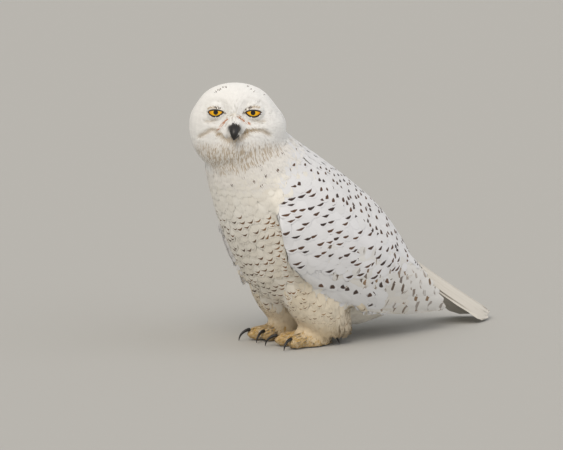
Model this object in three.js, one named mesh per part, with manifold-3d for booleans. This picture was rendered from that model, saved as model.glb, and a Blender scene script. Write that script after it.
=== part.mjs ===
// A snowy owl standing at rest with its head turned over its left shoulder, life size.
// Millimetres, +Z up. The body faces -Y, the bird's left side is +X, and the floor is z = 0.
// Every solid shows the outer surface of the plumage. The bird is lofted whole from a few
// sections and parted by thin cuts into the nodes that a person would name.

import * as THREE from 'three';
import { ParametricGeometry } from 'three/addons/geometries/ParametricGeometry.js';
import { mergeVertices } from 'three/addons/utils/BufferGeometryUtils.js';
import Module from 'manifold-3d';

const wasm = await Module();
wasm.setup();

// ---------------------------------------------------------------- driving dimensions

const GAP = 0.3; // clearance left between neighbouring solids
const WING_BED = 0.9; // clearance under a wing, whose twisted sheet needs a little more
const RAD = Math.PI / 180;

// Body sections from the throat to the rump. Each row holds the section's centre (y, z), the
// pitch of its plane in degrees, half its width, and its depth to the back and to the belly.
const BODY = [
  [-92, 322, 74, 62, 60, 62],
  [-72, 282, 60, 76, 74, 78],
  [-34, 219, 50, 89, 101, 94],
  [20, 161, 45, 93, 114, 112],
  [85, 125, 41, 86, 98, 106],
  [145, 94, 37, 68, 71, 98],
  [200, 75, 31, 42, 34, 56],
  [242, 57, 29, 24, 14, 14],
];
const NECK_END = 1 / 7; // share of the body's length at which the neck meets the trunk
const SEAM = 0.001; // half the cut between them, as a share of the same length

// Head, measured from its own centre with the face towards -Y.
const HEAD_CENTRE = [0, -102, 346];
const HEAD_TURN = 51; // degrees from the body's forward direction towards the left wing
const HEAD = { halfWidth: 74, front: 58, back: 64, up: 63, down: 72 };
const FACE_FLATNESS = 0.8; // 1 is a plain ellipsoid, less is a flatter facial disc
const JOWL_FULLNESS = 0.75; // 1 is a plain ellipsoid, less is a fuller ruff below the cheeks
// The crown is pinched above the ears at height z and leans a little to the right.
const CROWN = { pinch: 0.08, z: 34, spread: 17, lean: 4, leanOver: 18 };
const EYE = { radius: 17, x: 26.6, y: -34, z: 20.8 };

// Soft swellings and hollows of the face: height, centre (x, z), spread (x, z).
const FACE_FORMS = [
  { height: -5, x: EYE.x, z: 23, spreadX: 14, spreadZ: 11 },
  { height: -5, x: -EYE.x, z: 23, spreadX: 14, spreadZ: 11 },
  { height: 7, x: 0, z: 14, spreadX: 9, spreadZ: 20 },
  { height: 9, x: 0, z: -40, spreadX: 34, spreadZ: 17 },
];

// Bill: centre line (y, z) in the head's frame, half width, half depth.
const UPPER_BILL = [
  [-46, 6, 9, 8],
  [-62, 6, 10, 8.5],
  [-74, 2, 8, 7],
  [-80, -5, 5, 4.5],
  [-80, -11, 1.2, 1.2],
];
const LOWER_BILL = [
  [-46, -8, 7, 4],
  [-62, -7, 7, 4],
  [-70, -9, 4.5, 3],
  [-74, -11, 1.5, 1.5],
];

// Left wing, folded against the flank. The upper edge runs beside the back, the lower edge runs
// from below the wrist to the tips of the primaries, and the swell stands between them.
const WING_UPPER = [
  [64, -62, 300],
  [69, 8, 266],
  [69, 70, 217],
  [62, 125, 174],
  [50, 173, 134],
  [44, 218, 92],
  [41, 260, 46],
];
const WING_LOWER = [
  [84, -62, 126],
  [84, -22, 99],
  [80, 28, 72],
  [73, 75, 46],
  [63, 122, 33],
  [52, 180, 29],
  [43, 250, 27],
];
const WING_SWELL = [
  [19, -33, 4],
  [26, -12, 4],
  [26, 0, 6],
  [25, 5, 7],
  [20, 6, 7],
  [12, 6, 5],
  [5, 3, 2],
];
// The right wing hangs lower than the left one, free of the flank feathers: its lower edge is
// moved back and down, most at the wrist, and its swell is a little flatter in front.
const RIGHT_WING_DROOP = { back: 22, down: 46, fade: 2.2, swellShare: 0.85 };
const WING_THICK = [5, 11, 11, 9, 8, 7, 5];
// Cuts in front of the secondaries and in front of the primaries: a point and a lean in degrees.
const WING_CUTS = [
  { y: 40, z: 115, lean: 30 },
  { y: 165, z: 115, lean: 30 },
];

// Tail: left edge, right edge by mirror, and the swell of the middle feathers.
const TAIL_EDGE = [
  [20, 188, 98],
  [25, 225, 70],
  [30, 262, 42],
  [36, 298, 17],
  [36, 324, 2],
  [25, 348, -1.5],
];
const TAIL_SWELL = [
  [0, 6, 23],
  [0, 8, 25],
  [0, 9, 28],
  [0, 11, 29],
  [0, 12, 27],
  [0, 18, 13],
];
const TAIL_THICK = [12, 12, 10, 8, 7, 6];

// Left leg in its feather trousers: centre (x, y, z), half width, depth to the back and front.
const LEG = [
  [44, 20, 112, 44, 62, 72],
  [43, 18, 80, 42, 58, 63],
  [42, 16, 50, 38, 54, 45],
  [41, 16, 28, 33, 58, 25],
  [40, 16, 15, 27, 56, 15],
];

// Feet: ankle place, height of the feathered instep, and toes by direction and length.
const ANKLE = { x: 38, y: 8 };
const INSTEP = { x: 38, y: 6, low: 8, halfWidth: 25, halfLength: 34, height: 25 };
const TOE_RADIUS = 12.5;
const SOLE_DROP = 1.2; // how far the sole is pressed flat
const TOES = {
  left: [
    { name: 'inner', heading: -24, length: 58 },
    { name: 'middle', heading: 18, length: 56 },
    { name: 'outer', heading: 145, length: 28 },
    { name: 'hind', heading: 205, length: 28 },
  ],
  right: [
    { name: 'inner', heading: -16, length: 50 },
    { name: 'middle', heading: 10, length: 60 },
    { name: 'outer', heading: 145, length: 28 },
    { name: 'hind', heading: 205, length: 28 },
  ],
};
const CLAW = { length: 19, thick: 2.9, drop: 16 };

// ---------------------------------------------------------------- materials

const coat = { roughness: 0.95, metalness: 0 };
const whiteDown = { ...coat, color: 0xe9e5db };
const creamDown = { ...coat, color: 0xe0d6c2 };
const wingVane = { ...coat, color: 0xd8d6d2 };
const buffDown = { ...coat, color: 0xd8c49a };
const blackHorn = { roughness: 0.35, metalness: 0, color: 0x17140f };
const amberEye = { roughness: 0.08, metalness: 0, color: 0xe8a200 };

// ---------------------------------------------------------------- helpers

// Smooth value through evenly spaced values, t from 0 to 1.
function spline(values, t) {
  const last = values.length - 1;
  const place = Math.min(Math.max(t, 0), 1) * last;
  const i = Math.min(Math.floor(place), last - 1);
  const f = place - i;
  const a = values[Math.max(i - 1, 0)];
  const b = values[i];
  const c = values[i + 1];
  const d = values[Math.min(i + 2, last)];
  return b + 0.5 * f * (c - a + f * (2 * a - 5 * b + 4 * c - d + f * (3 * (b - c) + d - a)));
}

// One row of a table of stations, interpolated at t.
function station(table, t) {
  return table[0].map((_, column) => spline(table.map((row) => row[column]), t));
}

// Closed solid of a geometry whose seams and poles meet.
function solidOf(geometry) {
  const bare = new THREE.BufferGeometry();
  bare.setAttribute('position', geometry.getAttribute('position'));
  bare.setIndex(geometry.getIndex());
  const merged = mergeVertices(bare, 1e-3);
  const p = merged.getAttribute('position').array;
  const index = merged.getIndex().array;
  const faces = [];
  let volume = 0;
  for (let i = 0; i < index.length; i += 3) {
    const [a, b, c] = [index[i], index[i + 1], index[i + 2]];
    if (a !== b && b !== c && c !== a) {
      faces.push([a, b, c]);
      const va = new THREE.Vector3().fromArray(p, 3 * a);
      const vb = new THREE.Vector3().fromArray(p, 3 * b);
      const vc = new THREE.Vector3().fromArray(p, 3 * c);
      volume += va.dot(vb.cross(vc));
    }
  }
  const outward = volume > 0 ? faces : faces.map(([a, b, c]) => [a, c, b]);
  const triVerts = new Uint32Array(outward.flat());
  return new wasm.Manifold(new wasm.Mesh({ numProp: 3, vertProperties: new Float32Array(p), triVerts }));
}

// Largest piece of a solid, without the slivers that a cut can leave.
function mainPiece(solid) {
  const pieces = solid.decompose();
  pieces.sort((a, b) => b.volume() - a.volume());
  return pieces[0];
}

// A lofted tube with closed ends. ring(t, angle, reach, target) places a point of the section;
// reach is 0 at the two end rows, where the section shrinks to its centre.
function loft(ring, rows, sides) {
  const place = (u, v, target) => {
    const t = (v * rows - 1) / (rows - 2);
    const reach = t < -0.5 / rows || t > 1 + 0.5 / rows ? 0 : 1;
    ring(Math.min(Math.max(t, 0), 1), 2 * Math.PI * u, reach, target);
  };
  return new ParametricGeometry(place, sides, rows);
}

// ---------------------------------------------------------------- neck and trunk

function bodyRing(from, to, grow) {
  return (t, angle, reach, target) => {
    const [y, z, pitch, halfWidth, back, belly] = station(BODY, from + (to - from) * t);
    const depth = Math.cos(angle) > 0 ? back : belly;
    const out = reach * (depth + grow) * Math.cos(angle);
    const side = reach * (halfWidth + grow) * Math.sin(angle);
    target.set(side, y + out * Math.sin(pitch * RAD), z + out * Math.cos(pitch * RAD));
  };
}

function bodySolid(from, to, rows, grow = 0) {
  return solidOf(loft(bodyRing(from, to, grow), rows, 24));
}

// ---------------------------------------------------------------- head, eyes and bill

// Swelling of the face towards the front at (x, z), in millimetres.
function faceForm(x, z) {
  let height = 0;
  for (const form of FACE_FORMS) {
    const dx = (x - form.x) / form.spreadX;
    const dz = (z - form.z) / form.spreadZ;
    height += form.height * Math.exp(-0.5 * (dx * dx + dz * dz));
  }
  return height;
}

function headPoint(u, v, target, grow) {
  const turn = 2 * Math.PI * u;
  const polar = Math.PI * v;
  const reach = Math.sin(polar) ** (v > 0.5 ? JOWL_FULLNESS : 1);
  const height = Math.cos(polar) > 0 ? HEAD.up : HEAD.down;
  const z = (height + grow) * Math.cos(polar);
  const frontness = reach * Math.cos(turn);
  const pinch = 1 - CROWN.pinch * Math.exp(-(((z - CROWN.z) / CROWN.spread) ** 2));
  const lean = z > 0 ? CROWN.lean * (1 - Math.exp(-((z / CROWN.leanOver) ** 2))) : 0;
  const x = (HEAD.halfWidth + grow) * reach * pinch * Math.sin(turn) - lean;
  let y = -(HEAD.back + grow) * frontness;
  if (frontness > 0) {
    y = -(HEAD.front + grow) * frontness ** FACE_FLATNESS - faceForm(x, z) * Math.min(1, 2 * frontness);
  }
  target.set(x, y, z);
}

// Places a geometry of the head's own frame in the bird's frame.
function onHead(geometry) {
  return geometry.rotateZ(HEAD_TURN * RAD).translate(...HEAD_CENTRE);
}

function headSolid(grow = 0) {
  return solidOf(onHead(new ParametricGeometry((u, v, p) => headPoint(u, v, p, grow), 26, 17)));
}

function eyeSolid(side, grow = 0) {
  const ball = new THREE.SphereGeometry(EYE.radius + grow, 14, 10);
  return solidOf(onHead(ball.translate(side * EYE.x, EYE.y, EYE.z)));
}

// Curved horn in the vertical plane x = 0 of the head, from a table of centre, width and depth.
function billSolid(table, rows, grow = 0) {
  const ring = (t, angle, reach, target) => {
    const [y, z, halfWidth, halfDepth] = station(table, t);
    const ahead = station(table, t + 0.02);
    const behind = station(table, t - 0.02);
    const lean = Math.atan2(ahead[1] - behind[1], ahead[0] - behind[0]);
    const out = reach * (halfDepth + grow) * Math.cos(angle);
    const side = reach * (halfWidth + grow) * Math.sin(angle);
    target.set(side, y + out * Math.sin(lean), z - out * Math.cos(lean));
  };
  return solidOf(onHead(loft(ring, rows, 10)));
}

// ---------------------------------------------------------------- wings and tail

// A feathered plate between two edges: the section is a flat lens whose middle swells outwards,
// and the plate thins to an edge at both ends.
function plateSolid({ first, second, swell, thick }, rows, sides, grow = 0) {
  const middle = (t, w) => {
    const a = new THREE.Vector3(...station(first, t));
    const b = new THREE.Vector3(...station(second, t));
    const s = new THREE.Vector3(...station(swell, t));
    return a.lerp(b, w).addScaledVector(s, 4 * w * (1 - w));
  };
  const step = 0.02;
  const place = (u, v, target) => {
    const angle = 2 * Math.PI * u;
    const t = Math.min(Math.max(v, 0), 1);
    const w = (1 - Math.cos(angle)) / 2;
    const along = middle(Math.min(t + step, 1), w).sub(middle(Math.max(t - step, 0), w));
    const across = middle(t, w + step).sub(middle(t, w - step));
    const normal = along.clone().cross(across).normalize();
    const rim = across.clone().normalize().multiplyScalar(-grow * Math.cos(angle));
    const end = along.clone().normalize().multiplyScalar(grow * (2 * t - 1) ** 9);
    const profile = Math.sign(Math.sin(angle)) * Math.abs(Math.sin(angle)) ** 0.6;
    const closing = v < 0.5 / rows || v > 1 - 0.5 / rows ? 0 : 1;
    const out = closing * profile * (spline(thick, t) / 2 + grow);
    target.copy(middle(t, w)).addScaledVector(normal, out).add(rim).add(end);
  };
  return solidOf(new ParametricGeometry(place, sides, rows));
}

function mirrorX(table) {
  return table.map(([x, y, z]) => [-x, y, z]);
}

// The right wing's lower edge, before it is mirrored.
function droopedEdge(table) {
  return table.map(([x, y, z], row) => {
    const fade = (1 - row / (table.length - 1)) ** RIGHT_WING_DROOP.fade;
    return [x, y + fade * RIGHT_WING_DROOP.back, z - fade * RIGHT_WING_DROOP.down];
  });
}

function wingSolid(side, grow = 0) {
  const shape = { first: WING_UPPER, second: WING_LOWER, swell: WING_SWELL, thick: WING_THICK };
  if (side < 0) {
    shape.first = mirrorX(WING_UPPER);
    shape.second = mirrorX(droopedEdge(WING_LOWER));
    shape.swell = mirrorX(WING_SWELL).map(([x, y, z]) => [x, y * RIGHT_WING_DROOP.swellShare, z]);
  }
  return plateSolid(shape, 16, 14, grow);
}

function tailSolid(grow = 0) {
  const shape = { first: TAIL_EDGE, second: mirrorX(TAIL_EDGE), swell: TAIL_SWELL, thick: TAIL_THICK };
  return plateSolid(shape, 12, 14, grow);
}

// Parts a folded wing by leaning cross cuts into arm, secondaries and primaries.
function wingParts(wing) {
  const parts = [];
  let rest = wing;
  for (const cut of WING_CUTS) {
    const normal = [0, Math.cos(cut.lean * RAD), -Math.sin(cut.lean * RAD)];
    const offset = cut.y * normal[1] + cut.z * normal[2];
    parts.push(mainPiece(rest.trimByPlane(normal.map((n) => -n), -offset + GAP / 2)));
    rest = rest.trimByPlane(normal, offset + GAP / 2);
  }
  parts.push(mainPiece(rest));
  return parts;
}

// ---------------------------------------------------------------- legs, feet and claws

function legSolid(side, grow = 0) {
  const ring = (t, angle, reach, target) => {
    const [x, y, z, halfWidth, back, front] = station(LEG, t);
    const depth = Math.cos(angle) > 0 ? back : front;
    const across = reach * (halfWidth + grow) * Math.sin(angle);
    target.set(side * x + across, y + reach * (depth + grow) * Math.cos(angle), z);
  };
  return solidOf(loft(ring, 8, 16));
}

// Heading of a toe on one foot as a unit vector; 0 points forward, positive turns outwards.
function toeDirection(side, heading) {
  return new THREE.Vector3(side * Math.sin(heading * RAD), -Math.cos(heading * RAD), 0);
}

// A feathered toe: a tapering roll from the ankle to the root of the claw.
function toeSolid(side, toe, grow) {
  const ahead = toeDirection(side, toe.heading);
  const across = new THREE.Vector3(-ahead.y, ahead.x, 0);
  const ring = (t, angle, reach, target) => {
    const round = Math.sqrt(Math.max(0.06, 1 - (2 * t - 1) ** 6));
    const radius = reach * (TOE_RADIUS * round * (1.15 - 0.25 * t) + grow);
    target.set(side * ANKLE.x, ANKLE.y, TOE_RADIUS * (1 - 0.1 * t) - SOLE_DROP);
    target.addScaledVector(ahead, t * toe.length);
    target.addScaledVector(across, radius * Math.sin(angle));
    target.z += radius * Math.cos(angle);
  };
  return solidOf(loft(ring, 8, 8));
}

// A hooked claw that leaves the toe forwards and bends down to just above the floor.
function clawSolid(side, toe, grow = 0) {
  const ahead = toeDirection(side, toe.heading);
  const across = new THREE.Vector3(-ahead.y, ahead.x, 0);
  const root = toe.length - 5;
  const ring = (t, angle, reach, target) => {
    const bend = t * 0.5 * Math.PI;
    const radius = reach * (CLAW.thick * (1 - t) ** 0.8 + 0.5 + grow);
    const forward = root + CLAW.length * Math.sin(bend);
    const height = 1.2 + CLAW.drop * Math.cos(bend);
    target.set(side * ANKLE.x, ANKLE.y, height + radius * Math.cos(angle) * Math.cos(bend));
    target.addScaledVector(ahead, forward + radius * Math.cos(angle) * Math.sin(bend));
    target.addScaledVector(across, radius * Math.sin(angle));
  };
  return solidOf(loft(ring, 8, 6));
}

function aboveFloor(solid) {
  return solid.trimByPlane([0, 0, 1], 0);
}

// The feathered instep over the ankle and the toes that meet in it.
function footBody(side, toes, grow = 0) {
  const { x, y, low, halfWidth, halfLength, height } = INSTEP;
  const dome = new THREE.SphereGeometry(1, 12, 8).rotateX(Math.PI / 2);
  dome.scale(halfWidth + grow, halfLength + grow, height + grow).translate(side * x, y, low);
  let body = solidOf(dome);
  for (const toe of toes) {
    body = body.add(toeSolid(side, toe, grow));
  }
  return body;
}

// One foot, hollowed where the claws enter.
function footSolid(side, toes) {
  let foot = footBody(side, toes);
  for (const toe of toes) {
    foot = foot.subtract(clawSolid(side, toe, GAP));
  }
  return mainPiece(aboveFloor(foot));
}

// ---------------------------------------------------------------- assembly

const owl = new THREE.Group();

function addNode(name, solid, finish) {
  const mesh = solid.getMesh();
  const geometry = new THREE.BufferGeometry();
  geometry.setAttribute('position', new THREE.BufferAttribute(new Float32Array(mesh.vertProperties), 3));
  geometry.setIndex(new THREE.BufferAttribute(new Uint32Array(mesh.triVerts), 1));
  geometry.computeVertexNormals();
  const node = new THREE.Mesh(geometry, new THREE.MeshStandardMaterial(finish));
  node.name = name;
  owl.add(node);
}

const sides = [['left', 1], ['right', -1]];
const grownHead = headSolid(GAP);
const grownWings = sides.map(([, side]) => wingSolid(side, WING_BED).add(wingSolid(side)));
const grownTrunk = bodySolid(NECK_END, 1, 16, GAP);
const grownTail = tailSolid(WING_BED).add(tailSolid());

let head = headSolid();
for (const [, side] of sides) {
  head = head.subtract(eyeSolid(side, GAP));
}
head = head.subtract(billSolid(UPPER_BILL, 10, GAP)).subtract(billSolid(LOWER_BILL, 8, GAP));
addNode('head', mainPiece(head), whiteDown);

for (const [name, side] of sides) {
  addNode(`eye_${name}`, eyeSolid(side), amberEye);
}
addNode('bill_upper', billSolid(UPPER_BILL, 10), blackHorn);
const lowerBill = billSolid(LOWER_BILL, 8).subtract(billSolid(UPPER_BILL, 10, GAP));
addNode('bill_lower', mainPiece(lowerBill), blackHorn);

let neck = bodySolid(0, NECK_END - SEAM, 7).subtract(grownHead);
let trunk = bodySolid(NECK_END + SEAM, 1, 16).subtract(grownHead).subtract(grownTail);
for (const grownWing of grownWings) {
  neck = neck.subtract(grownWing);
  trunk = trunk.subtract(grownWing);
}
addNode('neck', mainPiece(neck), whiteDown);
addNode('trunk', mainPiece(trunk), creamDown);

for (const [name, side] of sides) {
  const [arm, secondaries, primaries] = wingParts(wingSolid(side).subtract(grownHead).subtract(grownTail));
  addNode(`wing_${name}_arm`, arm, wingVane);
  addNode(`wing_${name}_secondaries`, secondaries, wingVane);
  addNode(`wing_${name}_primaries`, primaries, wingVane);
}
addNode('tail', mainPiece(aboveFloor(tailSolid())), wingVane);

for (const [index, [name, side]] of sides.entries()) {
  const toes = TOES[name];
  const foot = footSolid(side, toes);
  let footRoom = footBody(side, toes, GAP).add(footBody(side, toes));
  for (const toe of toes) {
    footRoom = footRoom.add(clawSolid(side, toe, GAP));
  }
  const leg = legSolid(side).subtract(grownTrunk).subtract(grownWings[index]).subtract(footRoom);
  addNode(`leg_${name}`, mainPiece(leg), creamDown);
  addNode(`foot_${name}`, foot, buffDown);
  for (const toe of toes) {
    addNode(`claw_${name}_${toe.name}`, mainPiece(aboveFloor(clawSolid(side, toe))), blackHorn);
  }
}

// The origin is the middle of the bird's footprint, on the floor.
const box = new THREE.Box3().setFromObject(owl);
const centre = box.getCenter(new THREE.Vector3());
owl.position.set(-centre.x, -centre.y, -box.min.z);

export default owl;
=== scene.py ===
import math

import bpy
import numpy as np
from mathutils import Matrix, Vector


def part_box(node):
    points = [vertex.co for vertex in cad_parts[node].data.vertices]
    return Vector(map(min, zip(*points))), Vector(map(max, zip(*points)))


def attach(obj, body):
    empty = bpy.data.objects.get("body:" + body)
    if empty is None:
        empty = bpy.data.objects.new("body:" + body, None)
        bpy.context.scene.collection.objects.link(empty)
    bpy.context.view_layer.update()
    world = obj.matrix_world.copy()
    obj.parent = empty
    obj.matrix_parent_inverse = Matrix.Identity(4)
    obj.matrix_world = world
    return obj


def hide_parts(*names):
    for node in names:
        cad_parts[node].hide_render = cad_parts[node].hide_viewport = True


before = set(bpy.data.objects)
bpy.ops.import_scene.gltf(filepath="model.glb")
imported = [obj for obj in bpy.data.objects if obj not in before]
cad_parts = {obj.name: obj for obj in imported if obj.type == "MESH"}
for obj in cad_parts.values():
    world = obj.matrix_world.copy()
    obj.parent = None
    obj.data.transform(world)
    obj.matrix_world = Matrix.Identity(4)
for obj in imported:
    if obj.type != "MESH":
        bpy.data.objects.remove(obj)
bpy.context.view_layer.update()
scene = bpy.context.scene


# ---------------------------------------------------------------- camera, light and floor
# A museum bay: a long lens a little above the bird's shoulder, one broad soft lamp high on its
# left, a weak one opposite, a pale room all round and a plain pale floor.

def paint(hex_colour):
    """An sRGB hex colour as linear RGBA: each channel c becomes ((c + 0.055) / 1.055) ^ 2.4."""
    srgb = np.array([int(hex_colour[i:i + 2], 16) for i in (1, 3, 5)]) / 255
    linear = np.where(srgb <= 0.04045, srgb / 12.92, ((srgb + 0.055) / 1.055) ** 2.4)
    return (*linear.tolist(), 1.0)


def add(tree, kind, inputs=None, **settings):
    """Adds one node to a tree. Settings are its own options; inputs are values or sockets to link."""
    node = tree.nodes.new(kind)
    for name, value in settings.items():
        setattr(node, name, value)
    for key, value in (inputs or {}).items():
        if isinstance(value, bpy.types.NodeSocket):
            tree.links.new(value, node.inputs[key])
        else:
            node.inputs[key].default_value = value
    return node


def new_finish(name):
    """A new material, its node tree and its shader."""
    material = bpy.data.materials.new(name)
    material.use_nodes = True
    return material, material.node_tree, material.node_tree.nodes["Principled BSDF"]


def middle(*nodes):
    """The middle of the box round some CAD nodes, in metres."""
    corners = np.array([[*low, *high] for low, high in map(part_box, nodes)])
    return (corners[:, :3].min(0) + corners[:, 3:].max(0)) / 2


CAMERA_ROUND, CAMERA_UP = math.radians(55), math.radians(10)
CAMERA_AWAY, FRAME_WIDTH = 24.0, 0.856
CAMERA_ASIDE, CAMERA_RAISE = -0.0175, 0.1778

# The bird's own zero: the floor point that all its places are measured from, 123.4 mm behind the
# middle of its eyes.
body_zero = np.array([0, middle("eye_left", "eye_right")[1] + 0.1234, 0])
camera_right = np.array([math.cos(CAMERA_ROUND), math.sin(CAMERA_ROUND), 0])
camera_back = np.array([
    math.sin(CAMERA_ROUND) * math.cos(CAMERA_UP),
    -math.cos(CAMERA_ROUND) * math.cos(CAMERA_UP),
    math.sin(CAMERA_UP)])
camera_up = np.cross(camera_back, camera_right)
aim = body_zero + camera_right * CAMERA_ASIDE + camera_up * CAMERA_RAISE
camera = bpy.data.objects.new("camera", bpy.data.cameras.new("camera"))
camera.data.sensor_width = 36
camera.data.lens = 36 * CAMERA_AWAY / FRAME_WIDTH
camera.data.clip_end = 100
camera.location = aim + camera_back * CAMERA_AWAY
camera.rotation_mode = "QUATERNION"
camera.rotation_quaternion = (-Vector(camera_back)).to_track_quat("-Z", "Y")
scene.collection.objects.link(camera)
scene.camera = camera


def lamp(name, round_deg, up_deg, power, softness_deg, colour):
    """A distant soft lamp that shines from a direction given as degrees round and above the bird."""
    light = bpy.data.lights.new(name, "SUN")
    light.energy = power
    light.angle = math.radians(softness_deg)
    light.color = paint(colour)[:3]
    lamp_object = bpy.data.objects.new(name, light)
    a, e = math.radians(round_deg), math.radians(up_deg)
    towards = Vector((-math.sin(a) * math.cos(e), math.cos(a) * math.cos(e), -math.sin(e)))
    lamp_object.rotation_mode = "QUATERNION"
    lamp_object.rotation_quaternion = towards.to_track_quat("-Z", "Y")
    scene.collection.objects.link(lamp_object)


lamp("key_lamp", round_deg=35, up_deg=50, power=1.48, softness_deg=35, colour="#FFF6EA")
lamp("fill_lamp", round_deg=120, up_deg=40, power=0.40, softness_deg=60, colour="#EDF2FF")
scene.world = bpy.data.worlds.new("pale_room")
scene.world.use_nodes = True
room = scene.world.node_tree.nodes["Background"]
room.inputs["Color"].default_value = paint("#E9E8E6")
room.inputs["Strength"].default_value = 0.66
scene.view_settings.view_transform = "Standard"

floor_mesh = bpy.data.meshes.new("floor")
floor_mesh.from_pydata([(-30, -30, 0), (30, -30, 0), (30, 30, 0), (-30, 30, 0)], [], [(0, 1, 2, 3)])
floor = bpy.data.objects.new("floor", floor_mesh)
scene.collection.objects.link(floor)
# Matt water-based floor paint, rolled: no gloss, an even pale grey.
floor_paint, _, shader = new_finish("matt_pale_floor_paint")
shader.inputs["Base Color"].default_value = paint("#B9B8B4")
shader.inputs["Roughness"].default_value = 0.9
floor_mesh.materials.append(floor_paint)


# ---------------------------------------------------------------- the bird's outer form
# The closed outside of the plumage, smoothed from the solids: every feather is laid on it. It
# isn't shown. It also carries which way the coat lies at each place.

FLESH = [
    "head", "neck", "trunk", "leg_left", "leg_right", "foot_left", "foot_right",
    "wing_left_arm", "wing_left_secondaries", "wing_right_arm", "wing_right_secondaries"]
QUILLS = ["wing_left_primaries", "wing_right_primaries", "tail"]
EYES = ["eye_left", "eye_right"]
# Points nearer than this to each other are one, in metres.
WELD_GAP = 0.00002


def read(data, name, width=1):
    """A whole attribute of vertices as one array; 'co' and 'normal' are the vertices' own."""
    own = name in ("co", "normal")
    width = 3 if own else width
    source = data.vertices if own else data.attributes[name].data
    found = np.empty(len(data.vertices) * width, np.float32)
    source.foreach_get(name if own else "vector" if width == 3 else "value", found)
    return (found.reshape(-1, 3) if width == 3 else found).astype(float)


def write(data, name, values):
    """Stores numbers or vectors, one for each vertex, as an attribute of the mesh."""
    vectors = values.ndim == 2
    layer = data.attributes.new(name, "FLOAT_VECTOR" if vectors else "FLOAT", "POINT")
    layer.data.foreach_set("vector" if vectors else "value", values.astype(np.float32).ravel())


def moved(piece, at):
    """Sets a piece's vertices to new places and gives the way out of its surface at each."""
    piece.data.vertices.foreach_set("co", at.astype(np.float32).ravel())
    piece.data.update()
    return read(piece.data, "normal")


def unit(v):
    """Vectors scaled to length 1."""
    return v / np.maximum(np.linalg.norm(v, axis=-1, keepdims=True), 1e-12)


def joined_copy(name, nodes, extra=()):
    """One mesh object with the shapes of some CAD nodes, and of extra pieces made of four-sided
    faces; 'part' tells which node a point is from."""
    points, faces, part, start = [], [], [], 0
    for number, node in enumerate(nodes):
        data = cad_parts[node].data
        corners = np.empty(len(data.loops), np.int32)
        data.loops.foreach_get("vertex_index", corners)
        points.append(read(data, "co"))
        faces += (corners.reshape(-1, 3) + start).tolist()
        part.append(np.full(len(points[-1]), number))
        start += len(points[-1])
    for piece in extra:
        corners = np.empty(len(piece.data.loops), np.int32)
        piece.data.loops.foreach_get("vertex_index", corners)
        points.append(read(piece.data, "co"))
        faces += (corners.reshape(-1, 4) + start).tolist()
        part.append(np.full(len(points[-1]), -1))
        start += len(points[-1])
    data = bpy.data.meshes.new(name)
    data.from_pydata(np.vstack(points), [], faces)
    write(data, "part", np.concatenate(part))
    copy = bpy.data.objects.new(name, data)
    scene.collection.objects.link(copy)
    return copy


def apply_modifiers(piece):
    """Replaces a piece's mesh by what its modifiers make of it."""
    evaluated = piece.evaluated_get(bpy.context.evaluated_depsgraph_get())
    data = bpy.data.meshes.new_from_object(evaluated)
    piece.modifiers.clear()
    piece.data = data
    data.name = piece.name


def cast(name, nodes, voxel, rounds, fill=0.0, extra=()):
    """The closed outside of some CAD nodes: grown by fill, remeshed in voxels, which joins them and
    closes clefts, drawn in again by fill, then smoothed."""
    piece = joined_copy(name, nodes, extra)
    weld = piece.modifiers.new("weld", "WELD")
    weld.merge_threshold = WELD_GAP
    for grow in (fill, -fill):
        swell = piece.modifiers.new("swell", "DISPLACE")
        swell.strength, swell.mid_level = grow, 0.0
        remesh = piece.modifiers.new("remesh", "REMESH")
        remesh.mode = "VOXEL"
        remesh.voxel_size = voxel
    smooth = piece.modifiers.new("smooth", "SMOOTH")
    smooth.factor, smooth.iterations = 0.5, rounds
    apply_modifiers(piece)
    return piece


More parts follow.
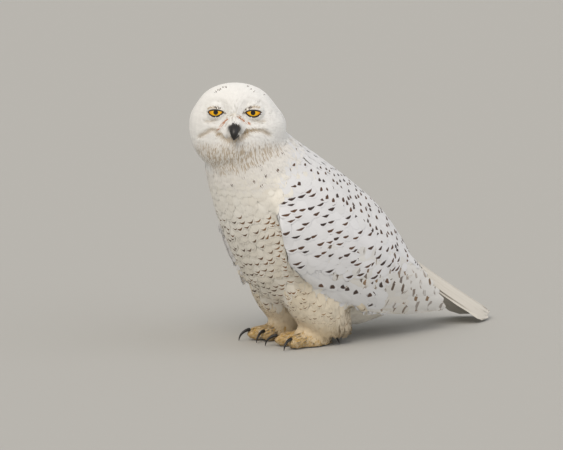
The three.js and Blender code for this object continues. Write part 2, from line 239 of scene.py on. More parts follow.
def ask(points, target, names, ray=None):
    """Looks up a surface at many points at once. With no ray it gives, for each point, the nearest
    place on the target and its attributes there; with a ray, the first place hit, and whether."""
    probe_mesh = bpy.data.meshes.new("probe")
    probe_mesh.vertices.add(len(points))
    probe_mesh.vertices.foreach_set("co", np.asarray(points, np.float32).ravel())
    probe = bpy.data.objects.new("probe", probe_mesh)
    scene.collection.objects.link(probe)
    tree = bpy.data.node_groups.new("probe", "GeometryNodeTree")
    tree.interface.new_socket("Geometry", in_out="INPUT", socket_type="NodeSocketGeometry")
    tree.interface.new_socket("Geometry", in_out="OUTPUT", socket_type="NodeSocketGeometry")
    flow = add(tree, "NodeGroupInput").outputs[0]
    surface = add(tree, "GeometryNodeObjectInfo", {"Object": target}).outputs["Geometry"]
    place = add(tree, "GeometryNodeInputPosition").outputs[0]
    for name, width in [("place", 3), *names]:
        kind = "FLOAT_VECTOR" if width == 3 else "FLOAT"
        value = place if name == "place" else add(
            tree, "GeometryNodeInputNamedAttribute", {"Name": name}, data_type=kind).outputs[0]
        if ray is None:
            sample = add(tree, "GeometryNodeSampleNearestSurface", {"Mesh": surface},
                         data_type=kind)
            tree.links.new(value, sample.inputs["Value"])
            tree.links.new(place, sample.inputs["Sample Position"])
            found = sample.outputs["Value"]
        else:
            sample = add(tree, "GeometryNodeRaycast", {
                "Target Geometry": surface, "Attribute": value, "Source Position": place,
                "Ray Direction": tuple(ray), "Ray Length": 1.0},
                data_type=kind, mapping="INTERPOLATED")
            found = sample.outputs["Attribute"]
        flow = add(tree, "GeometryNodeStoreNamedAttribute", {
            "Geometry": flow, "Name": "found_" + name, "Value": found},
            data_type=kind, domain="POINT").outputs[0]
    if ray is not None:
        hit = add(tree, "GeometryNodeSwitch", {
            "Switch": sample.outputs["Is Hit"], "False": 0.0, "True": 1.0}, input_type="FLOAT")
        flow = add(tree, "GeometryNodeStoreNamedAttribute", {
            "Geometry": flow, "Name": "found_hit", "Value": hit.outputs[0]},
            data_type="FLOAT", domain="POINT").outputs[0]
        names = [*names, ("hit", 1)]
    add(tree, "NodeGroupOutput", {0: flow})
    modifier = probe.modifiers.new("probe", "NODES")
    modifier.node_group = tree
    data = probe.evaluated_get(bpy.context.evaluated_depsgraph_get()).data
    answers = [read(data, "found_" + name, width) for name, width in [("place", 3), *names]]
    bpy.data.objects.remove(probe)
    bpy.data.meshes.remove(probe_mesh)
    bpy.data.node_groups.remove(tree)
    return answers


PARTS = FLESH + QUILLS + EYES + ["bill_upper", "bill_lower"]
# The feathers of breast and flank close the hollow before each wing, less so on the right.
FLANKS = [cast(f"flank_{place}", ["neck", "trunk", f"wing_{place}_arm"], voxel=0.004, rounds=3, fill=fill)
          for place, fill in (("left", 0.016), ("right", 0.009))]
form = cast("form", PARTS, voxel=0.0020, rounds=8, fill=0.0025, extra=FLANKS)
part_guide = joined_copy("part_guide", PARTS)
form_at = read(form.data, "co")
form_part = np.rint(ask(form_at, part_guide, [("part", 1)])[1]).astype(int)
bpy.data.objects.remove(part_guide)
of_part = {name: form_part == number for number, name in enumerate(PARTS)}
on_head = of_part["head"] | of_part["eye_left"] | of_part["eye_right"]
on_bill = of_part["bill_upper"] | of_part["bill_lower"]
on_legs = of_part["leg_left"] | of_part["leg_right"]
on_feet = of_part["foot_left"] | of_part["foot_right"]
on_primaries = of_part["wing_left_primaries"] | of_part["wing_right_primaries"]
on_wings = np.any([there for name, there in of_part.items() if name.startswith("wing")], 0)


def relaxed(piece, at, share, rounds):
    """Places drawn towards the middle of their neighbours, by a share of their own, in rounds."""
    ends = np.empty(len(piece.data.edges) * 2, np.int32)
    piece.data.edges.foreach_get("vertices", ends)
    first, second = ends.reshape(-1, 2).T
    many = np.bincount(ends, minlength=len(at))[:, None]
    for _ in range(rounds):
        total = np.stack([
            np.bincount(first, at[second, axis], len(at)) + np.bincount(second, at[first, axis], len(at))
            for axis in range(3)], 1)
        at = at + (total / many - at) * (0.6 * share)[:, None]
    return at


# The head's own directions, and where the eyes sit in it.
head_left = unit((middle("eye_left") - middle("eye_right")) * [1, 1, 0])
face_front = np.array([head_left[1], -head_left[0], 0])
EYE_SHIFT = head_left * -0.0012 + np.array([0, 0, 0.0024])
eye_centre = {1: middle("eye_left") + EYE_SHIFT, -1: middle("eye_right") + EYE_SHIFT}
between_eyes = (eye_centre[1] + eye_centre[-1]) / 2
head_centre = middle("head")
lore = between_eyes + face_front * 0.020


def ramp(value, low, high):
    """0 below low, 1 above high and a smooth S between; low may be the larger, which turns it."""
    t = np.clip((value - low) / (high - low), 0, 1)
    return t * t * (3 - 2 * t)


def mix(a, b, share):
    """A blend of two vectors by a share for each point."""
    return np.asarray(a) * (1 - share[:, None]) + np.asarray(b) * share[:, None]


def eye_axes(side):
    """The way out of one eye's opening, and the opening's outward and upward directions."""
    out_of = unit(face_front + (side * 0.165 - 0.03) * head_left + np.array([0, 0, 0.17]))
    outward = unit(side * head_left - out_of * (side * head_left @ out_of))
    upward = np.cross(out_of, outward) * side
    return out_of, outward, upward


HALF_OPENING, UPPER_BOW, LOWER_BOW, CORNER_HEIGHT = 11.1, 1.9, -6.0, 0.75


def lid_edge(w, upper):
    """The opening's edge in millimetres on the eye's own plane: across by w times its half width,
    and up or down from the corners by a rounded bow, (1 - w^2) to the power 0.62 or 0.75."""
    bow = np.clip(1 - w ** 2, 0, 1)
    drop = UPPER_BOW * bow ** 0.62 if upper else LOWER_BOW * bow ** 0.75
    return np.stack([HALF_OPENING * w, CORNER_HEIGHT + drop], -1)


def eye_plane(at, side):
    """Places round an eye as millimetres out, up and forward from its centre."""
    out_of, outward, upward = eye_axes(side)
    v = (at - eye_centre[side]) * 1000
    return v @ outward, v @ upward, v @ out_of


def off_opening(at):
    """Millimetres by which a place lies outside the nearer eye's opening, roughly."""
    gaps = []
    for side in (1, -1):
        x, y, z = eye_plane(at, side)
        w = np.clip(x / HALF_OPENING, -1, 1)
        above = y - lid_edge(w, True)[:, 1]
        below = lid_edge(w, False)[:, 1] - y
        beyond = np.abs(x) - HALF_OPENING
        gaps.append(np.where(z > 0, np.maximum(np.maximum(above, below), beyond), 99))
    return np.minimum(*gaps)


def smooth_share(at):
    """Where the breast runs into the front of each wing and the neck into the back, from 0 to 1."""
    local = (at - body_zero) * 1000
    front = ramp(local[:, 1], 30, -5) * ramp(np.abs(local[:, 0]), 35, 50) * ramp(local[:, 2], 95, 120)
    front = front * ramp(local[:, 2], 345, 320)
    nape = ramp(local[:, 2], 225, 250) * ramp(local[:, 2], 330, 300) * ramp(local[:, 1], -80, -50)
    return np.maximum(front, 0.8 * nape)


form_at = relaxed(form, form_at, smooth_share(form_at), 30)
LID_RADIUS, LID_FADE = 17.9, (14.5, 25)


def lidded(at):
    """Places round each eye set on a ball a little larger than it, fading out 25 mm away."""
    for side in (1, -1):
        x, y, z = eye_plane(at, side)
        away = np.sqrt(x * x + y * y + z * z)
        share = (1 - ramp(np.hypot(x, y), *LID_FADE)) * (z > 0)
        wanted = away + (LID_RADIUS - away) * share
        at = eye_centre[side] + (at - eye_centre[side]) * (wanted / away)[:, None]
    return at


form_at = lidded(form_at)

# The face is drawn on a plane square to its gaze: millimetres towards the bird's left and up from
# the middle between the pupils.
GAZE_ROUND, GAZE_UP = math.radians(55), math.radians(10)
face_side = np.array([math.cos(GAZE_ROUND), math.sin(GAZE_ROUND), 0])
face_out = np.array([
    math.sin(GAZE_ROUND) * math.cos(GAZE_UP), -math.cos(GAZE_ROUND) * math.cos(GAZE_UP), math.sin(GAZE_UP)])
face_up = np.cross(face_out, face_side)
face_zero = between_eyes + (face_front * 1.0 - head_left * 0.023) * 0.0166 + face_up * 0.0028


def on_face(at):
    """Places as millimetres sideways, up and forward on the face's plane."""
    v = (at - face_zero) * 1000
    return v @ face_side, v @ face_up, v @ face_out


def stroke(at, line, width):
    """How much a line drawn on the face covers each place: 1 on it, fading with the square of the
    distance over its width. The line is a list of (sideways, up) points in millimetres."""
    fx, fz, forward = on_face(at)
    best = np.full(len(at), 1e9)
    for (x0, z0), (x1, z1) in zip(line[:-1], line[1:]):
        dx, dz = x1 - x0, z1 - z0
        t = np.clip(((fx - x0) * dx + (fz - z0) * dz) / (dx * dx + dz * dz), 0, 1)
        best = np.minimum(best, (fx - x0 - t * dx) ** 2 + (fz - z0 - t * dz) ** 2)
    return np.exp(-best / width ** 2) * (forward > -45)


# Folds of the face: a crease over each upper lid, a fold under each eye, the groove on each side
# that runs back from the corner of the mouth, and the hollow below the bill.
LID_CREASES = [
    [(-40, 6), (-35, 8.3), (-29, 8.8), (-22.5, 7), (-18, 2.5), (-16, -1)],
    [(15.2, -1), (16.5, 2.5), (19.5, 6.3), (25, 8.8), (32, 9.3), (38, 8.2)]]
UNDER_EYE = [[(-44, -13.5), (-36, -14), (-29, -11.5)], [(29, -11.5), (37, -13.5), (46, -13.5)]]
MOUTH_FOLDS = [
    [(-53, -36), (-45, -31.5), (-37, -27), (-30, -26), (-24, -33)],
    [(14, -31), (24, -28.5), (34, -27), (44, -28), (53, -33)]]
BILL_HOLLOW = [[(-17, -38), (-9, -42), (-1, -43.5), (8, -41), (18, -34)]]
FOLDS = [(LID_CREASES, 1.6, 0.5), (UNDER_EYE, 2.8, 0.7), (MOUTH_FOLDS, 3.6, 1.5), (BILL_HOLLOW, 4.5, 2.2)]


def folded(at, rise):
    """Places on the face sunk along the way out: each fold has lines, a width and a depth in
    millimetres."""
    for lines, width, depth in FOLDS:
        for line in lines:
            at = at - rise * (stroke(at, line, width) * depth / 1000)[:, None]
    return at


form_at = folded(form_at, moved(form, form_at))
form_rise = moved(form, form_at)

# The lower edges of the scapulars and of the smaller coverts on the wing's flat side, in
# millimetres: how far back from the bird's zero, and how high.
SCAPULAR_EDGE = (-70, -40, -15, 20, 60, 100, 135, 175), (262, 250, 235, 212, 186, 160, 138, 110)
COVERT_EDGE = (-75, -45, -10, 30, 70, 110, 150, 190), (150, 128, 118, 106, 98, 100, 102, 92)


def lie_of_coat(at, rise):
    """Which way feathers point at each place of the form. On the head away from the bill's root,
    turning to down on the chin and the nape; on the body from the neck down and back to the tail;
    down the legs; out along the toes; along the wing from the wrist to its tip, steeper near the
    wrist."""
    from_bill = unit(at - lore)
    for side in (1, -1):
        out_of, outward, upward = eye_axes(side)
        from_eye = at - eye_centre[side] - out_of * 0.012
        near = np.exp(-(np.linalg.norm(from_eye, axis=1) / 0.018) ** 4)
        from_bill = unit(from_bill + unit(from_eye) * (1.6 * near)[:, None])
    fx, fz, forward = on_face(at)
    chin = ramp(fz, -30, -48) * ramp(forward, -60, -20)
    from_bill = mix(from_bill, unit(from_bill * 0.35 + np.array([0, 0, -1.0])), chin)
    backness = np.sum(unit(at - head_centre) * face_front, 1)
    body = mix([0, 0.25, -0.97], [0, 0.74, -0.67], ramp(at[:, 2], 0.33, 0.22))
    nape = mix(from_bill, unit(np.array([0, 0.45, -0.9])), ramp(backness, -0.25, -0.85))
    lie = np.where((on_head | on_bill)[:, None], nape, body)
    belly = ramp(at[:, 2], 0.16, 0.08) * of_part["trunk"] * (rise[:, 1] < 0.3)
    lie = mix(lie, np.array([0, 0.3, -0.95]), belly)
    lie = np.where(on_legs[:, None], [0, 0.10, -1.0], lie)
    for foot, side in (("foot_left", 1), ("foot_right", -1)):
        ankle = body_zero + np.array([side * 0.038, 0.010, 0.034])
        outward = unit((at - ankle) * [1, 1, 0.0])
        toe = outward + np.array([0, 0, -0.45])
        lie = np.where(of_part[foot][:, None], toe, lie)
    run = (at[:, 1] - body_zero[1]) * 1000
    scapular = ramp(at[:, 2] * 1000 - np.interp(run, *SCAPULAR_EDGE), -4, 18)
    lesser = ramp(at[:, 2] * 1000 - np.interp(run, *COVERT_EDGE), -20, 12)
    wing_lie = mix([0, 0.93, -0.36], mix([0, 0.13, -0.99], [0, 0.60, -0.80], ramp(run, 40, 160)), lesser)
    wing_lie = mix(wing_lie, [0, 0.74, -0.67], scapular)
    lie = np.where(on_wings[:, None], wing_lie, lie)
    return unit(lie - rise * np.sum(lie * rise, 1, keepdims=True))


write(form.data, "rise", form_rise)
write(form.data, "lie", lie_of_coat(form_at, form_rise))


def settle(points):
    """The place on the outer form nearest to each point, the way out of the form there, and the
    way the coat lies."""
    place, rise, lie = ask(points, form, [("rise", 3), ("lie", 3)])
    rise = unit(rise)
    return place, rise, unit(lie - rise * np.sum(lie * rise, 1, keepdims=True))


# ---------------------------------------------------------------- skin
# The flesh under the coat: one closed skin from the face to the toes and along both wings. It
# lies under the plumage by the coat's depth, least on the face and feet.

skin = cast("skin", FLESH + EYES, voxel=0.0034, rounds=6, fill=0.0025, extra=FLANKS)
skin_at = read(skin.data, "co")
BODY_DEPTH, FOOT_DEPTH, WING_DEPTH = 0.0050, 0.0025, 0.0030


def coat_depth(at):
    """How deep the coat is at a place, in metres: 5 mm on the body, less by 45% on the back of the
    head and by 65% on the face, and less on the wings and below the ankles."""
    forward = np.sum((at - head_centre) * face_front, 1)
    head_high = ramp(at[:, 2], 0.30, 0.33)
    depth = BODY_DEPTH * (1 - head_high * (0.45 + 0.2 * ramp(forward, -0.01, 0.03)))
    depth = np.where(at[:, 2] < 0.03, FOOT_DEPTH, depth)
    wing = (np.abs(at[:, 0]) > 0.055) & (at[:, 1] > body_zero[1] - 0.06)
    return np.where(wing, WING_DEPTH, depth)


for flank in FLANKS:
    bpy.data.objects.remove(flank)
skin_at = lidded(relaxed(skin, skin_at, smooth_share(skin_at), 11))
skin_out = moved(skin, skin_at)
moved(skin, folded(skin_at, skin_out) - skin_out * coat_depth(skin_at)[:, None])
skin.data.shade_smooth()
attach(skin, "root")
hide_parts(*FLESH)


# ---------------------------------------------------------------- eyes
# Glassy balls sunk in the head, with the clear cornea swelling a little over a yellow iris and a
# small black pupil. They look a little apart, as an owl's do, and can't turn.

# Radii in millimetres.
BALL, SWELL, CORNEA, PUPIL, IRIS = 16.6, 0.5, 12.0, 3.35, 13.5


def place_piece(name, data, material):
    """An object of a finished mesh, with its finish, on the bird's one body."""
    piece = bpy.data.objects.new(name, data)
    scene.collection.objects.link(piece)
    data.materials.append(material)
    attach(piece, "root")
    return piece


def eyeball(side):
    """Polar grid round the gaze: radius 16.6 mm, swelling by 0.5 mm as a cosine over the cornea."""
    gaze = unit(face_front + (side * 0.10 - 0.023) * head_left + np.array([0, 0, 0.17]))
    outward = unit(side * head_left - gaze * (side * head_left @ gaze))
    upward = np.cross(gaze, outward) * side
    polar = np.concatenate([np.linspace(0, 0.9, 25), np.linspace(0.98, np.pi, 16)])[1:-1]
    turn = np.linspace(0, 2 * np.pi, 64, endpoint=False)
    aside = BALL * np.sin(polar)
    inside = (aside < CORNEA) & (polar < 1.5)
    swell = SWELL * np.where(inside, np.cos(np.pi / 2 * np.minimum(aside / CORNEA, 1)), 0) ** 0.8
    radius = (BALL + swell)[:, None, None] / 1000
    spoke = np.cos(turn)[None, :, None] * outward + np.sin(turn)[None, :, None] * upward
    rings = radius * (np.sin(polar)[:, None, None] * spoke + np.cos(polar)[:, None, None] * gaze)
    front, back = gaze * (BALL + SWELL) / 1000, -gaze * BALL / 1000
    points = np.vstack([front, rings.reshape(-1, 3), back]) + eye_centre[side]
    rows, cols = len(polar), len(turn)
    index = 1 + np.arange(rows * cols).reshape(rows, cols)
    beside = np.roll(index, -1, axis=1)
    quads = np.stack([index[:-1], index[1:], beside[1:], beside[:-1]], -1).reshape(-1, 4)
    tip = np.stack([np.zeros(cols, int), index[0], beside[0]], -1)
    tail_end = np.stack([np.full(cols, 1 + rows * cols), beside[-1], index[-1]], -1)
    if side < 0:
        quads, tip, tail_end = quads[:, ::-1], tip[:, ::-1], tail_end[:, ::-1]
    data = bpy.data.meshes.new("eye")
    data.from_pydata(points, [], quads.tolist() + tip.tolist() + tail_end.tolist())
    data.shade_smooth()
    write(data, "ring", np.concatenate([[0], np.repeat(np.where(polar < 1.5, aside, 99), cols), [99]]))
    write(data, "fibre_x", np.concatenate([[0], np.tile(np.cos(turn), rows), [0]]))
    write(data, "fibre_y", np.concatenate([[0], np.tile(np.sin(turn), rows), [0]]))
    return data


# Living cornea, or a taxidermist's painted glass: wet-looking and mirror smooth over radial fibres
# of the iris, which go from lemon round the pupil to orange, with a dark line at its edge.
glassy_eye, tree, shader = new_finish("glassy_eye")
ring, fibre_x, fibre_y = [add(tree, "ShaderNodeAttribute", attribute_name=name).outputs["Fac"]
                          for name in ("ring", "fibre_x", "fibre_y")]
fibre_turn = add(tree, "ShaderNodeMath", {0: ring, 1: 0.03}, operation="MULTIPLY").outputs[0]
fibre_place = add(tree, "ShaderNodeCombineXYZ", {0: fibre_x, 1: fibre_y, 2: fibre_turn}).outputs[0]
fibres = add(tree, "ShaderNodeTexNoise", {"Vector": fibre_place, "Scale": 14.0, "Detail": 3.0}).outputs[0]
iris = paint("#FFC400")
for value, none, full, most, colour in (
        (ring, 4.5, 11.0, 1.0, "#F39A05"), (fibres, 0.5, 0.75, 0.5, "#C06A05"),
        (ring, PUPIL + 0.5, PUPIL, 1.0, "#0A0705"), (ring, IRIS - 1.0, IRIS, 1.0, "#140C06")):
    share = add(tree, "ShaderNodeMapRange", {0: value, 1: none, 2: full, 3: 0.0, 4: most},
                interpolation_type="SMOOTHSTEP").outputs[0]
    iris = add(tree, "ShaderNodeMix", {0: share, 6: iris, 7: paint(colour)}, data_type="RGBA").outputs[2]
tree.links.new(iris, shader.inputs["Base Color"])
shader.inputs["Roughness"].default_value = 0.06
shader.inputs["IOR"].default_value = 1.38
shader.inputs["Coat Weight"].default_value = 0.6
shader.inputs["Coat Roughness"].default_value = 0.02
for side, name in ((1, "eye_left"), (-1, "eye_right")):
    ball = place_piece(name + "_glass", eyeball(side), glassy_eye)
    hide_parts(name)


# ---------------------------------------------------------------- eyelids
# Two folds of thin skin over each ball, half closed: bare, black and wet along the edge, and
# feathered behind it. The upper one is nearly straight, the lower one bows down.

# The lid in section: how far from the opening's edge (0) to its hidden rim (1), and how far from
# the eye's centre in millimetres, over the top and back beneath.
LID_RIM = 16.4
LID_SPREAD = np.array([0, 0.02, 0.05, 0.10, 0.16, 0.24, 0.36, 0.5, 0.65, 0.8, 1, 1, 0.5, 0])
LID_LEVEL = np.array([17, 17.5, 17.75, 17.7, 17.45, 17.15, 17.05, 17.05, 17, 17, 17, 15.2, 15.2, 15.2])


def eyelid(side, upper):
    """A strip between the opening's edge and a circle 16.4 mm out, on a ball a little larger than
    the eye: over the top from the edge outward, and back beneath, which closes it."""
    w = np.linspace(-1, 1, 41)[:, None]
    edge = lid_edge(w[:, 0], upper)[:, None, :]
    angle = np.pi * (1 - (w + 1) / 2) * (1 if upper else -1)
    rim = LID_RIM * np.stack([np.cos(angle), np.sin(angle)], -1)
    radius = LID_LEVEL[None, :, None]
    flat = edge + (rim - edge) * LID_SPREAD[None, :, None]
    off = np.linalg.norm(flat - edge, axis=-1)
    out_of, outward, upward = eye_axes(side)
    x, y = flat[..., :1] / LID_RADIUS, flat[..., 1:] / LID_RADIUS
    z = np.sqrt(np.clip(1 - x * x - y * y, 0.02, 1))
    points = eye_centre[side] + radius / 1000 * unit(x * outward + y * upward + z * out_of)
    rows, cols = points.shape[:2]
    index = np.arange(rows * cols).reshape(rows, cols)
    around = np.roll(index, -1, axis=1)
    quads = np.stack([index[:-1], around[:-1], around[1:], index[1:]], -1).reshape(-1, 4)
    ends = [index[0][::-1].tolist(), index[-1].tolist()]
    if (side > 0) != upper:
        quads, ends = quads[:, ::-1], [end[::-1] for end in ends]
    data = bpy.data.meshes.new("eyelid")
    data.from_pydata(points.reshape(-1, 3), [], quads.tolist() + ends)
    data.shade_smooth()
    write(data, "rim", off.ravel())
    return data


# Bare lid skin: black for 2 mm along the edge, then pale, with the same faint gloss all over.
BARE_RIM = 2.1
lid_skin, tree, shader = new_finish("lid_skin")
rim = add(tree, "ShaderNodeAttribute", attribute_name="rim").outputs["Fac"]
pale_share = add(tree, "ShaderNodeMapRange", {0: rim, 1: BARE_RIM, 2: 2.9},
                 interpolation_type="SMOOTHSTEP").outputs[0]
lid_colour = add(tree, "ShaderNodeMix", {0: pale_share, 6: paint("#120D0A"), 7: paint("#EFEBE2")},
                 data_type="RGBA").outputs[2]
tree.links.new(lid_colour, shader.inputs["Base Color"])
shader.inputs["Roughness"].default_value = 0.5
for side, place in ((1, "left"), (-1, "right")):
    for upper, level in ((True, "upper"), (False, "lower")):
        place_piece(f"lid_{level}_{place}", eyelid(side, upper), lid_skin)


# ---------------------------------------------------------------- bill and claws
# Horn sheaths over bone: a short hooked bill, its base hidden in bristles, and eight curved
# claws. They grow from the skin, black, with a dull polish.

# Keratin horn, worn smooth: nearly black, with a broad soft highlight and fine growth lines about
# 4 mm apart, coarser than real ones, which wouldn't show.
black_horn, tree, shader = new_finish("black_horn")
here = add(tree, "ShaderNodeTexCoord").outputs["Object"]
grain = add(tree, "ShaderNodeTexNoise", {"Vector": here, "Scale": 260.0, "Detail": 4.0}).outputs[0]
horn_colour = add(tree, "ShaderNodeMix", {0: grain, 6: paint("#0E0D0D"), 7: paint("#2A2624")},
                  data_type="RGBA").outputs[2]
tree.links.new(horn_colour, shader.inputs["Base Color"])
relief = add(tree, "ShaderNodeBump", {"Height": grain, "Strength": 0.12, "Distance": 0.0004})
tree.links.new(relief.outputs[0], shader.inputs["Normal"])
shader.inputs["Roughness"].default_value = 0.38
HORN = [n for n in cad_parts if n.startswith(("claw_", "bill_"))]
for name in HORN:
    sheath = joined_copy(name + "_horn", [name])
    weld = sheath.modifiers.new("weld", "WELD")
    weld.merge_threshold = WELD_GAP
    fine = sheath.modifiers.new("fine", "SUBSURF")
    fine.levels = fine.render_levels = 2
    apply_modifiers(sheath)
    sheath.data.shade_smooth()
    sheath.data.materials.append(black_horn)
    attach(sheath, "root")
    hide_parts(name)


# ---------------------------------------------------------------- feather maker
# Contour feathers are thin arched vanes, rooted in the skin and overlapping like tiles. Soft ones
# are parted into strands, stiff ones are whole. All pieces of the coat are laid by these.

def scatter(mask, spacing, seed):
    """Roots spread over the form at least a spacing apart, where the mask (0 to 1) allows."""
    write(form.data, "mask", mask)
    tree = bpy.data.node_groups.new("scatter", "GeometryNodeTree")
    tree.interface.new_socket("Geometry", in_out="INPUT", socket_type="NodeSocketGeometry")
    tree.interface.new_socket("Geometry", in_out="OUTPUT", socket_type="NodeSocketGeometry")
    source = add(tree, "NodeGroupInput").outputs[0]
    allowed = add(tree, "GeometryNodeInputNamedAttribute", {"Name": "mask"}, data_type="FLOAT")
    spread = add(tree, "GeometryNodeDistributePointsOnFaces", {
        "Mesh": source, "Distance Min": spacing, "Density Max": 3.0 / spacing ** 2,
        "Density Factor": allowed.outputs[0], "Seed": seed}, distribute_method="POISSON")
    as_mesh = add(tree, "GeometryNodePointsToVertices", {0: spread.outputs["Points"]})
    add(tree, "NodeGroupOutput", {0: as_mesh.outputs[0]})
    modifier = form.modifiers.new("scatter", "NODES")
    modifier.node_group = tree
    data = form.evaluated_get(bpy.context.evaluated_depsgraph_get()).data
    roots = read(data, "co")
    form.modifiers.remove(modifier)
    bpy.data.node_groups.remove(tree)
    form.data.attributes.remove(form.data.attributes["mask"])
    return roots


def ring_rows(centre, axis, zero_way, runs, first, last, spacing, jitter, seed):
    """Roots in rings round an axis, like tiles on a tower: rings at given runs along the axis, from
    a first to a last angle, roots a spacing apart along each ring and half a step on in the next.
    Each root is put on the form by moving it back to its own run and angle five times."""
    dice = np.random.default_rng(seed)
    beside = np.cross(axis, zero_way)

    def onto(run, angle, radius):
        for _ in range(5):
            way = np.cos(angle)[..., None] * zero_way + np.sin(angle)[..., None] * beside
            aimed = centre + run[..., None] * axis + radius[..., None] * way
            place = settle(aimed.reshape(-1, 3))[0].reshape(aimed.shape)
            out = place - centre
            radius = np.sqrt(np.maximum(np.sum(out * out, -1) - (out @ axis) ** 2, 1e-6))
        return place

    angles = np.linspace(first, last, 160)
    run, angle = np.meshgrid(runs, angles, indexing="ij")
    ring = onto(run, angle, np.full(run.shape, 0.16))
    along = np.cumsum(np.linalg.norm(np.diff(ring, axis=1, prepend=ring[:, :1]), axis=-1), 1)
    found = []
    for row, (here, length) in enumerate(zip(runs, along)):
        step = np.arange(spacing * (0.25 + 0.5 * (row % 2)), length[-1], spacing)
        step = step + dice.normal(0, jitter, len(step)) * spacing
        at_run = here + dice.normal(0, jitter, len(step)) * np.abs(runs[1] - runs[0])
        found.append(np.stack([at_run, np.interp(step, length, angles)], 1))
    found = np.vstack(found)
    return onto(found[:, 0], found[:, 1], np.full(len(found), 0.16))


def middle_lines(roots, length, stations, turn):
    """Each feather's middle line: from its root it is carried along the lie of the coat, turned
    by a small angle of its own, and set back on the form at every station."""
    place, rise, lie = settle(roots)
    rows, rises, aheads = [], [], []
    for step in np.diff(stations, prepend=stations[0]):
        if step > 0:
            place, rise, lie = settle(place + ahead * (length * step)[:, None])
        ahead = lie * np.cos(turn)[:, None] + np.cross(rise, lie) * np.sin(turn)[:, None]
        rows.append(place)
        rises.append(rise)
        aheads.append(ahead)
    return np.stack(rows, 1), np.stack(rises, 1), np.stack(aheads, 1)


# Where coloured feathers show, for the skin's own markings, and the least height over the floor.
marked_spots = []
FLOOR_GAP = 0.0003


